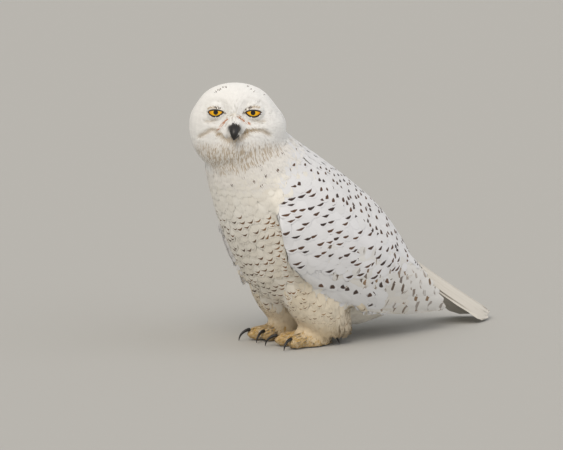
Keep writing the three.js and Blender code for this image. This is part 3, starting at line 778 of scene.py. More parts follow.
def build_vanes(name, lines, length, width, stations, columns, height, material, slot, unwrap,
                strands=1, camber=0.1, ragged=0.1, base=0.45, tip=0.3, widest=0.55, arch=0.06,
                tilt=0.0, patch=0.003, slack=0.0003, marks=None, mark_at=0.85, seed=1):
    """Closed thin vanes on given middle lines, bent to the form under them. A vane has one or more
    strands side by side, each a loop of columns carried along the line: the width grows from base
    to 1 at its widest, then closes on a quarter ellipse to tip. A strand is arched down at its
    edges by camber times its half width, the whole vane by arch, and rolled by tilt; height is
    the middle line's own, over the form, in metres; strand tips are frayed to unequal lengths.
    What would reach the floor lies flat on it."""
    rows, rises, aheads = lines
    count, n_rows, n_cols = len(rows), len(stations), len(columns)
    dice = np.random.default_rng(seed)
    t = np.asarray(stations, float)[None, None, :, None]
    across_strand = np.asarray(columns, float)[None, None, None, :]
    centre = (np.linspace(-1, 1, strands) * (1 - 0.6 / strands) if strands > 1 else np.zeros(1))
    centre = centre[None, :, None, None]
    own = 1.35 / strands if strands > 1 else 1.0
    grow = base + (1 - base) * np.sin(np.pi / 2 * np.minimum(t / widest, 1))
    close = np.sqrt(np.clip(1 - (np.maximum(t - widest, 0) / (1 - widest)) ** 2, 0, 1))
    blade = grow * (tip + (1 - tip) * close)
    spread = grow * (0.72 + 0.28 * close) if strands > 1 else 1.0
    half = 0.5 * np.asarray(width)[:, None, None, None]
    side_shift = half * (centre * spread + across_strand * own * blade)
    across = np.clip(centre + across_strand * own, -1, 1) * np.ones((count, 1, n_rows, 1))
    uneven = dice.uniform(-1, 1, (count, strands, 1, n_cols)) * ragged * ramp(t, 0.55, 1.0)
    uneven = uneven - (0.15 * centre ** 2 * t if strands > 1 else 0)
    loose = dice.uniform(-1, 1, (count, strands, 1, 1)) * slack
    up = (height[:, None, :, None] - camber * half * own * across_strand ** 2 * blade
          - arch * half * centre ** 2 + loose * t + tilt * across * blade)
    sides = np.cross(rises, aheads)
    points = (rows[:, None, :, None, :] + sides[:, None, :, None, :] * side_shift[..., None]
              + aheads[:, None, :, None, :] * (uneven * np.asarray(length)[:, None, None, None])[..., None])
    laid, out, _ = settle(points.reshape(-1, 3))
    points = laid.reshape(points.shape) + out.reshape(points.shape) * up[..., None]
    points[..., 2] = np.maximum(points[..., 2], FLOOR_GAP)
    per = n_rows * n_cols
    grid = np.arange(per).reshape(n_rows, n_cols)
    around = np.roll(grid, -1, axis=1)
    quads = np.stack([grid[:-1], around[:-1], around[1:], grid[1:]], -1).reshape(-1, 4)
    under = np.zeros((n_rows - 1, n_cols), bool)
    under[:, -1] = True
    loops = np.concatenate([quads.ravel(), grid[0][::-1], grid[-1]])
    sizes = np.concatenate([np.full(len(quads), 4), [n_cols, n_cols]])
    smooth = np.concatenate([~under.ravel(), [False, False]])
    bodies = count * strands
    all_loops = (loops[None, :] + (np.arange(bodies) * per)[:, None]).ravel()
    all_sizes = np.tile(sizes, bodies)
    data = bpy.data.meshes.new(name)
    data.vertices.add(bodies * per)
    data.vertices.foreach_set("co", points.astype(np.float32).ravel())
    data.loops.add(len(all_loops))
    data.loops.foreach_set("vertex_index", all_loops.astype(np.int32))
    data.polygons.add(len(all_sizes))
    data.polygons.foreach_set("loop_start", (np.cumsum(all_sizes) - all_sizes).astype(np.int32))
    data.polygons.foreach_set("use_smooth", np.tile(smooth, bodies))
    data.update(calc_edges=True)
    ends = np.empty(len(data.edges) * 2, np.int32)
    data.edges.foreach_get("vertices", ends)
    row, col = np.divmod(ends.reshape(-1, 2) % per, n_cols)
    along_rim = (col[:, 0] == col[:, 1]) & ((col[:, 0] == 0) | (col[:, 0] == n_cols - 1))
    round_end = (row[:, 0] == row[:, 1]) & ((row[:, 0] == 0) | (row[:, 0] == n_rows - 1))
    creased = data.attributes.new("sharp_edge", "BOOLEAN", "EDGE")
    creased.data.foreach_set("value", along_rim | round_end)
    one = np.ones((count, strands, n_rows, n_cols))
    kept = {"along": t + uneven, "across": across,
            "hair": dice.uniform(0, 1, (count, strands, 1, 1))}
    marks = {"tone": dice.uniform(0, 1, count), **(marks or {})}
    for label in ("tone", "mark", "warm", "rust", "dark"):
        kept[label] = np.broadcast_to(marks.get(label, 0.0), count)[:, None, None, None]
    for label, values in kept.items():
        write(data, label, (one * values).ravel())
    spot = unwrap(rows[:, 0])[:, None, None, None, :]
    spread_uv = np.stack([0.5 * patch * across * one, patch * (t - 0.5) * one], -1)
    layer = data.uv_layers.new(name="OFBake")
    layer.data.foreach_set("uv", (spot + spread_uv).reshape(-1, 2)[all_loops].astype(np.float32).ravel())
    share = mark_at * (n_rows - 1)
    shown = rows[:, int(share)] * (1 - share % 1) + rows[:, min(int(share) + 1, n_rows - 1)] * (share % 1)
    marked_spots.append(np.column_stack([shown, kept["mark"].ravel(), kept["warm"].ravel(),
                                         kept["rust"].ravel(), 0.25 * np.asarray(width) * np.ones(count)]))
    return place_piece(name, data, material)


def coat(name, roots, material, slot, unwrap, length, width, depth, stations=(0, 0.4, 0.75, 1),
         columns=(-1, 0, 1), swing=0.12, seed=1, lift=0.0, lower=0.0, **shape):
    """A coat piece: feathers laid along the lie from roots on the form. Each starts its depth
    under the outside and climbs to it as the cube of what is left of its length."""
    dice = np.random.default_rng(seed + 1000)
    count = len(roots)
    length = np.broadcast_to(length, count) * dice.uniform(0.85, 1.15, count)
    width = np.broadcast_to(width, count) * dice.uniform(0.88, 1.12, count)
    depth = np.broadcast_to(depth, count) * dice.uniform(0.9, 1.1, count)
    lines = middle_lines(roots, length, stations, dice.normal(0, 1, count) * swing)
    left = 1 - np.asarray(stations)[None, :]
    rise_up = (np.broadcast_to(lift, count) * dice.uniform(0.3, 1.0, count))[:, None]
    sunk = np.broadcast_to(lower, count)[:, None]
    height = -sunk - depth[:, None] * left ** 3 + rise_up * (1 - left) ** 2
    return build_vanes(name, lines, length, width, stations, columns, height, material, slot, unwrap,
                       seed=seed, **shape)


def plumage(name, white, tan, dark_brown, pale_brown, bar_at, bar_high, bar_wide, bend,
            edge=0.0, gap=4.0, patchy=0.0):
    """Feather keratin: matt, with hardly any sheen. The vane goes from white to tan by 'warm' and by
    edge along its rims, to rust by 'rust' and to umber by 'dark'. A curved bar near the tip, as
    strong as 'mark', thins to a point on both sides: it covers the places where
    |along + bend across^2 - bar_at| < bar_high (1 - (across/bar_wide)^2). It comes again at every
    gap along the vane, and patchy breaks it up."""
    material, tree, shader = new_finish(name)
    along, across, tone, hair, warm, rust, dark, mark = [
        add(tree, "ShaderNodeAttribute", attribute_name=label).outputs["Fac"]
        for label in ("along", "across", "tone", "hair", "warm", "rust", "dark", "mark")]
    here = add(tree, "ShaderNodeTexCoord").outputs["Object"]
    # Blots of about 5 mm fray the bars' edges, and blots of about 18 mm break them up.
    mottle = add(tree, "ShaderNodeTexNoise", {"Vector": here, "Scale": 190.0, "Detail": 2.0}).outputs[0]
    blots = add(tree, "ShaderNodeTexNoise", {"Vector": here, "Scale": 55.0, "Detail": 1.0}).outputs[0]
    from_middle = add(tree, "ShaderNodeMath", {0: across}, operation="ABSOLUTE").outputs[0]
    rim = add(tree, "ShaderNodeMapRange", {0: from_middle, 1: 0.80, 2: 1.0, 3: 0.0, 4: edge},
              interpolation_type="SMOOTHSTEP").outputs[0]
    warmth = add(tree, "ShaderNodeMath", {0: rim, 1: warm}, operation="MAXIMUM").outputs[0]
    # 'warm' and 'dark' carry painted shade in places, as well as the feathers' own tan and umber.
    ground = paint(white)
    for share, colour in ((warmth, tan), (rust, "#BC6F28"), (dark, "#3A281C")):
        ground = add(tree, "ShaderNodeMix", {0: share, 6: ground, 7: paint(colour)},
                     data_type="RGBA").outputs[2]
    own = add(tree, "ShaderNodeMath", {0: tone, 1: 0.042, 2: 0.93}, operation="MULTIPLY_ADD").outputs[0]
    shade = add(tree, "ShaderNodeMath", {0: hair, 1: 0.028, 2: own}, operation="MULTIPLY_ADD").outputs[0]
    toned = add(tree, "ShaderNodeVectorMath", {0: ground, "Scale": shade}, operation="SCALE").outputs[0]
    squared = add(tree, "ShaderNodeMath", {0: across, 1: across}, operation="MULTIPLY").outputs[0]
    place = add(tree, "ShaderNodeMath", {0: squared, 1: bend, 2: along},
                operation="MULTIPLY_ADD").outputs[0]
    past_bar = add(tree, "ShaderNodeMath", {0: place, 1: bar_at}, operation="SUBTRACT").outputs[0]
    off = add(tree, "ShaderNodeMath", {0: past_bar, 1: gap / 2}, operation="PINGPONG").outputs[0]
    frayed = add(tree, "ShaderNodeMath", {0: mottle, 1: 0.9 * bar_high, 2: off},
                 operation="MULTIPLY_ADD").outputs[0]
    reach = add(tree, "ShaderNodeMath", {0: squared, 1: -bar_high / bar_wide ** 2, 2: 1.45 * bar_high},
                operation="MULTIPLY_ADD").outputs[0]
    depth_in = add(tree, "ShaderNodeMath", {0: reach, 1: frayed}, operation="SUBTRACT").outputs[0]
    inside = add(tree, "ShaderNodeMapRange", {0: depth_in, 1: -0.12 * bar_high, 2: 0.35 * bar_high},
                 interpolation_type="SMOOTHSTEP").outputs[0]
    whole = add(tree, "ShaderNodeMapRange", {0: blots, 1: 0.42, 2: 0.54, 3: 1 - patchy, 4: 1.0},
                interpolation_type="SMOOTHSTEP").outputs[0]
    unbroken = add(tree, "ShaderNodeMath", {0: inside, 1: whole}, operation="MULTIPLY").outputs[0]
    bar = add(tree, "ShaderNodeMath", {0: unbroken, 1: mark}, operation="MULTIPLY").outputs[0]
    brown = add(tree, "ShaderNodeMix", {0: tone, 6: paint(dark_brown), 7: paint(pale_brown)},
                data_type="RGBA").outputs[2]
    vane = add(tree, "ShaderNodeMix", {0: bar, 6: toned, 7: brown}, data_type="RGBA").outputs[2]
    tree.links.new(vane, shader.inputs["Base Color"])
    shader.inputs["Roughness"].default_value = 0.75
    shader.inputs["Specular IOR Level"].default_value = 0.15
    shader.inputs["Sheen Weight"].default_value = 0.05
    shader.inputs["Sheen Roughness"].default_value = 0.6
    return material


def head_unwrap(at):
    """Longitude and latitude round the head's middle, with the seam at the back, in 0.02 to 0.98."""
    v = unit(at - head_centre)
    lon = np.arctan2(v @ head_left, v @ face_front) / (2 * np.pi) + 0.5
    lat = np.arcsin(np.clip(v[:, 2], -1, 1)) / np.pi + 0.5
    return 0.02 + 0.96 * np.stack([lon, lat], 1)


def body_unwrap(at):
    """Angle round the body's sloping spine and distance along it."""
    spine = np.array([0, 0.74, -0.67])
    out = at - body_zero - np.array([0, -0.091, 0.32])
    run = out @ spine
    up = np.cross([1, 0, 0], spine)
    turn = np.arctan2(out[:, 0], out @ up) / (2 * np.pi) + 0.5
    return 0.02 + 0.96 * np.stack([turn, np.clip((run + 0.12) / 0.55, 0, 1)], 1)


# ---------------------------------------------------------------- head
# The head's coat is of short, narrow, dense feathers that run away from the bill over crown and
# cheeks, with bristles over the bill's root and a soft beard under it. It is rooted in the skin.

soft_white = plumage("soft_head_feather", "#FBFAF7", "#B0956A", "#3A2012", "#5E3B22",
                     bar_at=0.72, bar_high=0.3, bar_wide=0.9, bend=0.1)
forward = np.sum((form_at - head_centre) * face_front, 1)
form_fx, form_fz, _ = on_face(form_at)
clear_of_eye = off_opening(form_at) > BARE_RIM
bare_bill = on_bill & (form_fz < -20.0 - 1.15 * np.abs(form_fx - 1.6))


def drawn(at, lines, width):
    """The strongest cover of several lines drawn on the face."""
    return np.max([stroke(at, line, width) for line in lines], 0)


RUST_LINES = [[(-11, -10), (-18, -18), (-26, -27.7)], [(9.4, -8.5), (16.4, -14.6), (24, -18)]]
FLECKED_BRIDGE = [[(-8, -6), (0, -5), (9, -7)]]
# Painted shade along the lower edge of each cheek, back from the mouth's corners.
MOUTH_CORNERS = [[(-27, -35), (-17, -32), (-8, -30)], [(14, -26), (23, -27), (33, -27.5)]]
# Painted shadow where the bill's sides meet the face.
GAPE_SHADOW = [[(-8, -29.5), (-5, -27.5)], [(6, -24.5), (14, -26.5)]]
BROW_SMUDGE = [[(31, 13.5), (37, 17)]]
# Painted shadow is deepest in the inner part of each lid crease.
INNER_CREASES = [LID_CREASES[0][2:], LID_CREASES[1][:4]]


def face_colours(at, seed):
    """Warm, rust and dark amounts of face feathers whose middles lie at some places, uneven."""
    dice = np.random.default_rng(seed)
    fleck = dice.uniform(0, 1, len(at))
    fx, fz, forward = on_face(at)
    # The beard under the bill gets painted shade: an even tan with darker streaks standing for the shade
    # between its strands.
    beard = ramp(fz, -40, -62) * ramp(forward, -60, -20)
    # Painted shade: the tan along the lid creases, under the eyes, in the mouth folds, in the hollow below
    # the bill and along the mouth's corners stands for the shade in these folds; the flecks over the bridge
    # are the feathers' own.
    warm = (0.85 * drawn(at, LID_CREASES, 1.7) + 0.40 * drawn(at, UNDER_EYE, 2.2)
            + 0.60 * drawn(at, MOUTH_FOLDS, 3.2) + 0.70 * drawn(at, BILL_HOLLOW, 4.5)
            + 0.45 * drawn(at, MOUTH_CORNERS, 1.8) + 0.6 * drawn(at, FLECKED_BRIDGE, 4.5) * (fleck > 0.6)
            + beard * (0.25 + 0.45 * (fleck > 0.6)))
    rust = (0.9 * drawn(at, RUST_LINES, 1.5) * (fleck > 0.35)
            + 0.5 * drawn(at, FLECKED_BRIDGE, 4.0) * (fleck > 0.8))
    # Painted shadow: the umber in the inner half of each lid crease, at the bill's sides, faintly in the
    # mouth folds and in a few beard streaks.
    dark = (1.1 * drawn(at, INNER_CREASES, 1.7) + 0.3 * drawn(at, BROW_SMUDGE, 3.0) * (fleck > 0.4)
            + drawn(at, GAPE_SHADOW, 2.0) + 0.10 * drawn(at, MOUTH_FOLDS, 2.0)
            + 0.10 * beard * (fleck > 0.8))
    return {"warm": np.clip(warm, 0, 1) * (0.75 + 0.25 * fleck), "rust": np.clip(rust, 0, 1),
            "dark": np.clip(dark, 0, 1)}


# The few brown dots on the crown's two sides, in millimetres on the face's plane.
CROWN_DOTS = [
    (-13, 39), (-17, 39.5), (-21, 36), (-24.5, 35), (-28, 32), (20, 40.5), (25, 36), (30, 32), (45, 27)]


def crown_dots(at, seed):
    """Which feathers end in a small brown dot: those whose tips lie on the crown's dots, and one in
    eighty low on the nape."""
    chance = np.random.default_rng(seed).uniform(0, 1, len(at))
    fx, fz, forward = on_face(at)
    on_dot = np.min([np.hypot(fx - x, fz - z) for x, z in CROWN_DOTS], 0) < 1.45
    nape = ramp(at[:, 2], head_centre[2] - 0.02, head_centre[2] - 0.055) * ramp(at[:, 1], -0.16, -0.13)
    return 1.0 * ((on_dot & (forward > -75) & (at[:, 2] > head_centre[2])) | (chance < 0.012 * nape))


def tips_of(roots, share):
    """Places a given length along the lie of the coat from each root."""
    return roots + settle(roots)[2] * np.broadcast_to(share, len(roots))[:, None]


face = 1.0 * on_head * clear_of_eye * (forward > 0.012) + 1.0 * on_bill * ~bare_bill
crown = 1.0 * on_head * clear_of_eye * (forward <= 0.012)
face_roots = scatter(face, spacing=0.0013, seed=3)
gap = off_opening(face_roots)
chin_share = ramp(on_face(face_roots)[1], -40, -52)
face_length = 0.0030 + 0.0050 * ramp(gap, 2, 22) + 0.0080 * chin_share
coat("face_feathers", face_roots, soft_white, "head_feathers", head_unwrap,
     length=face_length, width=0.0017, depth=0.0004 + 0.0014 * ramp(gap, 4, 14),
     swing=0.09, slack=0.00012, seed=5,
     marks={**face_colours(tips_of(face_roots, 0.85 * face_length), seed=40),
            "mark": 0.95 * crown_dots(tips_of(face_roots, 0.7 * face_length), seed=44)})

crown_roots = scatter(crown, spacing=0.0016, seed=4)
coat("crown_feathers", crown_roots, soft_white, "head_feathers", head_unwrap,
     length=0.011, width=0.0024, depth=0.0028, swing=0.08, slack=0.00015, seed=6,
     marks={"mark": 0.95 * crown_dots(tips_of(crown_roots, 0.0077), seed=41)})


def led_lines(roots, length, stations, first_way, last_way, lift):
    """Middle lines that follow a way on the face's plane, turning from a first to a last one, and
    stand off the form in the middle by lift."""
    place, rise, _ = settle(roots)
    rows, rises, aheads = [], [], []
    for share, step in zip(stations, np.diff(stations, prepend=stations[0])):
        if step > 0:
            place, rise, _ = settle(place + ahead * (length * step)[:, None])
        flat = first_way * (1 - share) + last_way * share
        way = flat[:, :1] * face_side + flat[:, 1:] * face_up
        ahead = unit(way - rise * np.sum(way * rise, 1, keepdims=True))
        rows.append(place)
        rises.append(rise)
        aheads.append(ahead)
    height = -0.0008 * (np.asarray(stations) < 0.05) + lift * np.sin(np.pi * np.asarray(stations)) ** 0.8
    return (np.stack(rows, 1), np.stack(rises, 1), np.stack(aheads, 1)), np.tile(height, (len(roots), 1))


# The bristles start on both sides of the bill's root, cross over it inward and hang down.
BRISTLE_STATIONS = (0, 0.25, 0.5, 0.75, 1)
bristle_dice = np.random.default_rng(42)
BRISTLES = 340
picked = bristle_dice.uniform(0, 1, (BRISTLES, 5))
bird_right = np.arange(BRISTLES) % 2 == 0
start_x = np.where(bird_right, -9 - 15 * picked[:, 0], 8 + 14 * picked[:, 0])
start_z = np.where(bird_right, -8 - 20 * picked[:, 0], -7.5 - 10.5 * picked[:, 0] ** 0.8)
start_z = start_z + 5 * (picked[:, 1] - 0.4)
bristle_roots = start_x[:, None] * face_side + start_z[:, None] * face_up + 10 * face_out
bristle_roots = face_zero + bristle_roots / 1000
inward = np.where(bird_right, 1.0, -1.0)
first_way = np.stack([inward * (0.75 - 0.3 * picked[:, 2]), -0.7 * np.ones(BRISTLES)], 1)
last_way = np.stack([inward * (0.15 + 0.25 * picked[:, 3]), -0.98 * np.ones(BRISTLES)], 1)
bristle_length = 0.011 + 0.006 * picked[:, 4]
bristle_lines, bristle_height = led_lines(
    bristle_roots, bristle_length, BRISTLE_STATIONS, first_way, last_way, lift=0.0016)
build_vanes("bristles", bristle_lines, bristle_length, np.full(BRISTLES, 0.0009), BRISTLE_STATIONS,
            (-1, 0, 1), bristle_height, soft_white, "head_feathers", head_unwrap, tip=0.12, widest=0.4,
            ragged=0.03, slack=0.0006, seed=43)


# ---------------------------------------------------------------- neck and trunk
# Breast, belly and back: soft contour feathers in rings, each parted into strands, over 5 mm of
# down. The breast is plain; lower down each feather has one thin curved bar near its tip.

body_white = plumage("body_feather", "#F9F7F1", "#C4AE82", "#2E170B", "#8A6238",
                     bar_at=0.86, bar_high=0.052, bar_wide=0.80, bend=0.20)
write(form.data, "wing", 1.0 * on_wings)
write(form.data, "torso", 1.0 * (of_part["neck"] | of_part["trunk"]))
neck_roots = scatter(1.0 * of_part["neck"] * (form_at[:, 2] > 0.262), spacing=0.0034, seed=45)
neck_dice = np.random.default_rng(47)
collar_share = 0.05 * ramp(np.abs(neck_roots[:, 0]), 0.02, 0.035)
collar = neck_dice.uniform(0, 1, len(neck_roots)) < collar_share
# The tan on the front of the neck is painted shade under the beard.
coat("neck_feathers", neck_roots, soft_white, "head_feathers", body_unwrap,
     length=0.017, width=0.0050, depth=0.0030, strands=2, seed=46,
     camber=0.05, arch=0.03, ragged=0.06, slack=0.0001,
     marks={"mark": 0.9 * collar, "warm": 0.16 * ramp(neck_roots[:, 1], -0.10, -0.15)})
trunk_axis = body_zero + np.array([0, 0.010, 0])
upright = np.array([0, 0, 1.0])
trunk_roots = ring_rows(trunk_axis, upright, np.array([0, -1.0, 0]), np.arange(0.290, 0.060, -0.0112),
                        first=-np.pi, last=np.pi, spacing=0.0118, jitter=0.13, seed=50)
on_torso = ask(trunk_roots, form, [("torso", 1)])[1] > 0.4
trunk_roots = trunk_roots[on_torso]
trunk_at = trunk_roots - body_zero
rise = settle(trunk_roots)[1]
trunk_dice = np.random.default_rng(51)
fleck = trunk_dice.uniform(0, 1, len(trunk_roots))
frontward = ramp(rise[:, 1], 0.45, 0.10)
belly_mark = (ramp(trunk_at[:, 2], 0.244, 0.212) > 0.1 + 0.5 * fleck) * (0.97 - 0.75 * (fleck > 0.86))
back_mark = 0.95 * (fleck > 0.55) * (trunk_at[:, 2] < 0.28)
marked = np.where(frontward > 0.5, belly_mark, back_mark)
flank = ramp(trunk_at[:, 0], 0.02, 0.07) * frontward
# Tan on the front of the body: partly the breast's own cream, partly painted shade that grows down the
# belly.
torso_warm = (0.11 + 0.16 * ramp(trunk_at[:, 2], 0.24, 0.10) + 0.06 * flank) * frontward
# A faint umber smudge low on each flank, before the wing.
smudge_at = np.abs(trunk_at) - [0.072, 0, 0.122]
smudge_at[:, 1] = trunk_at[:, 1] + 0.026
smudge = 0.5 * np.exp(-(np.linalg.norm(smudge_at, axis=1) / 0.014) ** 2) * (0.4 + 0.6 * fleck)
torso_tone = np.clip(0.7 * (1 - fleck) + 0.5 * flank, 0, 1.2)
coat("trunk_feathers", trunk_roots, body_white, "body_feathers", body_unwrap,
     length=0.030, width=0.0165, depth=0.0040, strands=6,
     stations=(0, 0.35, 0.6, 0.8, 0.92, 1), seed=10, swing=0.08, camber=0.03, arch=0.03,
     ragged=0.04, slack=0.00008, lower=0.0018 * ramp(rise[:, 1], 0.15, 0.4), patch=0.012,
     marks={"mark": marked, "tone": torso_tone, "warm": torso_warm * (0.7 + 0.6 * fleck),
            "dark": smudge})
under_mask = of_part["trunk"] * (form_at[:, 2] < 0.085) * (form_rise[:, 2] < -0.1)
under_roots = scatter(1.0 * under_mask, spacing=0.0080, seed=9)
coat("belly_down", under_roots, body_white, "body_feathers", body_unwrap,
     length=0.024, width=0.0130, depth=0.0040, strands=5, seed=11,
     camber=0.03, arch=0.03, ragged=0.05, slack=0.0001, marks={"warm": 0.2})


# ---------------------------------------------------------------- wings
# Flight feathers and their coverts on the outside of each folded wing: stiff flat vanes, laid
# from the lowest quill up and from the tip forward, so that each overlaps the one below.

# A covert's bar is broad and short, a scapular's deeper and narrower, and a flight feather has
# fine broken bars all along it.
covert_white = plumage("covert_feather", "#ECECEE", "#D8CBAF", "#2A140A", "#5E3B1E",
                       bar_at=0.86, bar_high=0.068, bar_wide=0.78, bend=0.10)
scapular_white = plumage("scapular_feather", "#EBEBEC", "#D8CBAF", "#2A140A", "#5E3B1E",
                         bar_at=0.84, bar_high=0.100, bar_wide=0.52, bend=0.16)
flight_white = plumage("flight_feather", "#EAE9E7", "#CDBC98", "#2E180C", "#8A6840",
                       bar_at=0.93, bar_high=0.022, bar_wide=1.0, bend=-0.03,
                       edge=0.45, gap=0.15, patchy=1.0)


def projected(points, ray, reach):
    """Drops paths on the form along a ray, all points at once. Where a path runs off the form's
    edge, or would jump to another part, it goes on straight, as a stiff feather does."""
    axis = int(np.argmax(np.abs(ray)))
    start = points.copy()
    start[..., axis] = -reach * ray[axis]
    place, rise, hit = ask(start.reshape(-1, 3), form, [("rise", 3)], ray=ray)
    place, rise = place.reshape(points.shape), unit(rise.reshape(points.shape))
    hit = hit.reshape(points.shape[:-1]) > 0.5
    off_root = ~hit[:, 0]
    near_root = start[:, 0].copy()
    near_root[:, axis] *= 0.35
    place[off_root, 0], rise[off_root, 0] = [found[off_root] for found in settle(near_root)[:2]]
    for station in range(1, points.shape[1]):
        before = place[:, station - 1]
        planned = np.linalg.norm(points[:, station] - points[:, station - 1], axis=-1)
        jump = np.abs(place[:, station, axis] - before[:, axis]) > 2.2 * planned + 0.004
        slope = before - place[:, max(station - 2, 0)]
        gone = ~hit[:, station] | jump
        place[gone, station] = start[gone, station]
        place[gone, station, axis] = (before + slope)[gone, axis]
        rise[gone, station] = rise[gone, station - 1]
    aheads = unit(np.gradient(place, axis=1))
    rise = unit(rise - aheads * np.sum(rise * aheads, -1, keepdims=True))
    return place, rise, aheads


def wing_unwrap(at):
    """The wing seen flat: along and up, the left one in the map's upper half."""
    half = np.where(at[:, 0] > 0, 0.5, 0.0)
    run = at[:, 1] - body_zero[1]
    return np.stack([0.02 + 0.96 * (run + 0.11) / 0.40, half + 0.01 + at[:, 2] / 0.34 * 0.48], 1)


def flat_lines(roots, tips, side, stations, bow):
    """Middle lines from roots to tips given in millimetres along and up the wing's flat side, with
    a bow of a sine, dropped on the wing from outside."""
    t = np.asarray(stations)[None, :, None]
    flat = roots[:, None, :] * (1 - t) + tips[:, None, :] * t
    flat[..., 1] += bow * np.sin(np.pi * t[..., 0])
    points = np.concatenate([np.zeros_like(flat[..., :1]), flat], -1) / 1000 + body_zero
    return projected(points, np.array([-side, 0.0, 0.0]), 0.25)


# Stations are shares of a feather's length, columns shares of its half width, roots and tips
# millimetres along and up.
QUILL_STATIONS = np.array([0, 0.12, 0.25, 0.38, 0.5, 0.62, 0.74, 0.85, 0.94, 1])
QUILL_COLUMNS = (-1, -0.6, -0.2, 0.08, 0.4, 0.75, 1)
PRIMARY_TIPS = np.array([
    [256, 22], [253, 34], [246, 48], [237, 62], [227, 77], [216, 92], [205, 107], [193, 122]])
PRIMARY_ROOTS = np.array([
    [82, 54], [78, 60], [74, 66], [70, 73], [66, 81], [62, 89], [60, 98], [60, 109]])
SECONDARY_TIPS = np.array([
    [172, 40], [168, 52], [164, 64], [159, 77], [154, 90], [149, 103], [145, 116], [141, 129]])
SECONDARY_ROOTS = np.array([
    [36, 86], [26, 95], [16, 105], [6, 115], [-2, 126], [-8, 138], [-12, 150], [-12, 162]])


def quills(name, roots, tips, side, width, depth, step, bow, marks, seed):
    """Stacked flight feathers of one wing, the lowest laid first."""
    lines = flat_lines(roots, tips, side, QUILL_STATIONS, bow)
    count = len(roots)
    height = (-depth + step * np.arange(count))[:, None] * np.ones(len(QUILL_STATIONS))
    length = np.linalg.norm(tips - roots, axis=1) / 1000
    return build_vanes(name, lines, length, np.full(count, width), QUILL_STATIONS, QUILL_COLUMNS,
                       height, flight_white, "wing_feathers", wing_unwrap, camber=0.04, ragged=0.01,
                       base=0.5, tip=0.25, widest=0.75, patch=0.04, marks=marks, seed=seed)


def field_of(origin, along, down, rows, columns):
    """Feather tips on a slanting lattice of the wing's flat side, in millimetres."""
    i, j = np.meshgrid(np.arange(columns), np.arange(rows), indexing="ij")
    return np.asarray(origin) + i.reshape(-1, 1) * np.asarray(along) + j.reshape(-1, 1) * np.asarray(down)


COVERT_STATIONS = (0, 0.3, 0.55, 0.72, 0.86, 0.95, 1)
COVERT_COLUMNS = (-1, -0.6, -0.2, 0.2, 0.6, 1)


def coverts(name, tips, side, length, width, depth, lower, material, marks, seed):
    """A field of small overlapping wing feathers with their tips at given places, in millimetres
    along and up. Their roots lie back from the tips against the lie of the coat, found in four
    steps of a quarter of the length."""
    dice = np.random.default_rng(seed)
    tips = tips + dice.normal(0, 2.2, tips.shape)
    at = np.column_stack([np.full(len(tips), 0.3 * side), tips / 1000 + body_zero[1:]])
    place, _, hit = ask(at, form, [("rise", 3)], ray=(-side, 0, 0))
    near = at * [0.28, 1, 1]
    place = np.where(((hit > 0.5) & (side * place[:, 0] > 0.03))[:, None], place, settle(near)[0])
    for _ in range(4):
        place, rise, lie = settle(place - settle(place)[2] * length / 4000)
    on_wing = (ask(place, form, [("wing", 1)])[1] > 0.4) & (side * place[:, 0] > 0.04)
    place = place[on_wing]
    marks = {label: values[on_wing] for label, values in marks.items()}
    return coat(name, place, material, "wing_feathers", wing_unwrap,
                length=length / 1000, width=width / 1000, depth=depth,
                stations=COVERT_STATIONS, columns=COVERT_COLUMNS, swing=0.05, camber=0.02, ragged=0.015,
                base=0.5, tip=0.3, widest=0.6, arch=0.03, tilt=0.0001 * side, slack=0.00005, lower=lower,
                patch=0.022, marks=marks, seed=seed)


def within(tips, under, over, lift=0):
    """Keeps the tips that lie over one broken line and under another, given along and up."""
    low = np.interp(tips[:, 0], *under)
    high = np.interp(tips[:, 0], *over) + lift
    return tips[(tips[:, 1] > low) & (tips[:, 1] < high)]


wing_dice = np.random.default_rng(60)
# The folded wing's lower edge.
WING_FOOT = (-70, -50, -34, -4, 28, 54, 80, 122, 180, 250), (138, 124, 112, 98, 79, 64, 56, 53, 48, 42)
PRIMARY_MARKS = {"mark": np.array([0.95, 0.6, 0.9, 0.75, 0.95, 0.6, 0.9, 0.8]), "warm": 0.06}
SECONDARY_MARKS = {"mark": np.array([0.8, 0.9, 0.7, 0.9, 0.8, 0.9, 0.7, 0.9]),
                   "warm": np.array([0.2, 0.2, 0.15, 0.1, 0.05, 0.05, 0.05, 0.05])}
greater = field_of((-93, 175), (16.5, -3.4), (0, -19.0), rows=7, columns=20)
greater = within(greater, WING_FOOT, COVERT_EDGE, 4)
greater = greater[greater[:, 0] < 128]
covert_tips = field_of((-282, 346), (20.4, -4.4), (11.1, -12.7), rows=26, columns=28)
covert_tips = within(covert_tips, COVERT_EDGE, SCAPULAR_EDGE, 22)
covert_tips = covert_tips[(covert_tips[:, 0] > -86) & (covert_tips[:, 0] < 178)]
for side, place in ((1, "left"), (-1, "right")):
    primaries = quills(f"primaries_{place}", PRIMARY_ROOTS, PRIMARY_TIPS, side, width=0.024,
                       depth=0.0013, step=0.00012, bow=4, marks=PRIMARY_MARKS, seed=30)
    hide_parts(f"wing_{place}_primaries")
    quills(f"secondaries_{place}", SECONDARY_ROOTS, SECONDARY_TIPS, side, width=0.028,
           depth=0.0011, step=0.00010, bow=3, marks=SECONDARY_MARKS, seed=31)
    spots = wing_dice.uniform(0, 1, len(greater))
    coverts(f"greater_coverts_{place}", greater, side, length=60, width=20, depth=0.0012,
            lower=0.0006, material=scapular_white, marks={"mark": 0.95 * (spots > 0.35)}, seed=61)
    spots = wing_dice.uniform(0, 1, len(covert_tips))
    coverts(f"coverts_{place}", covert_tips, side, length=34, width=24, depth=0.0016,
            lower=0.0003, material=covert_white, marks={"mark": 0.97 * (spots > 0.18)}, seed=62)

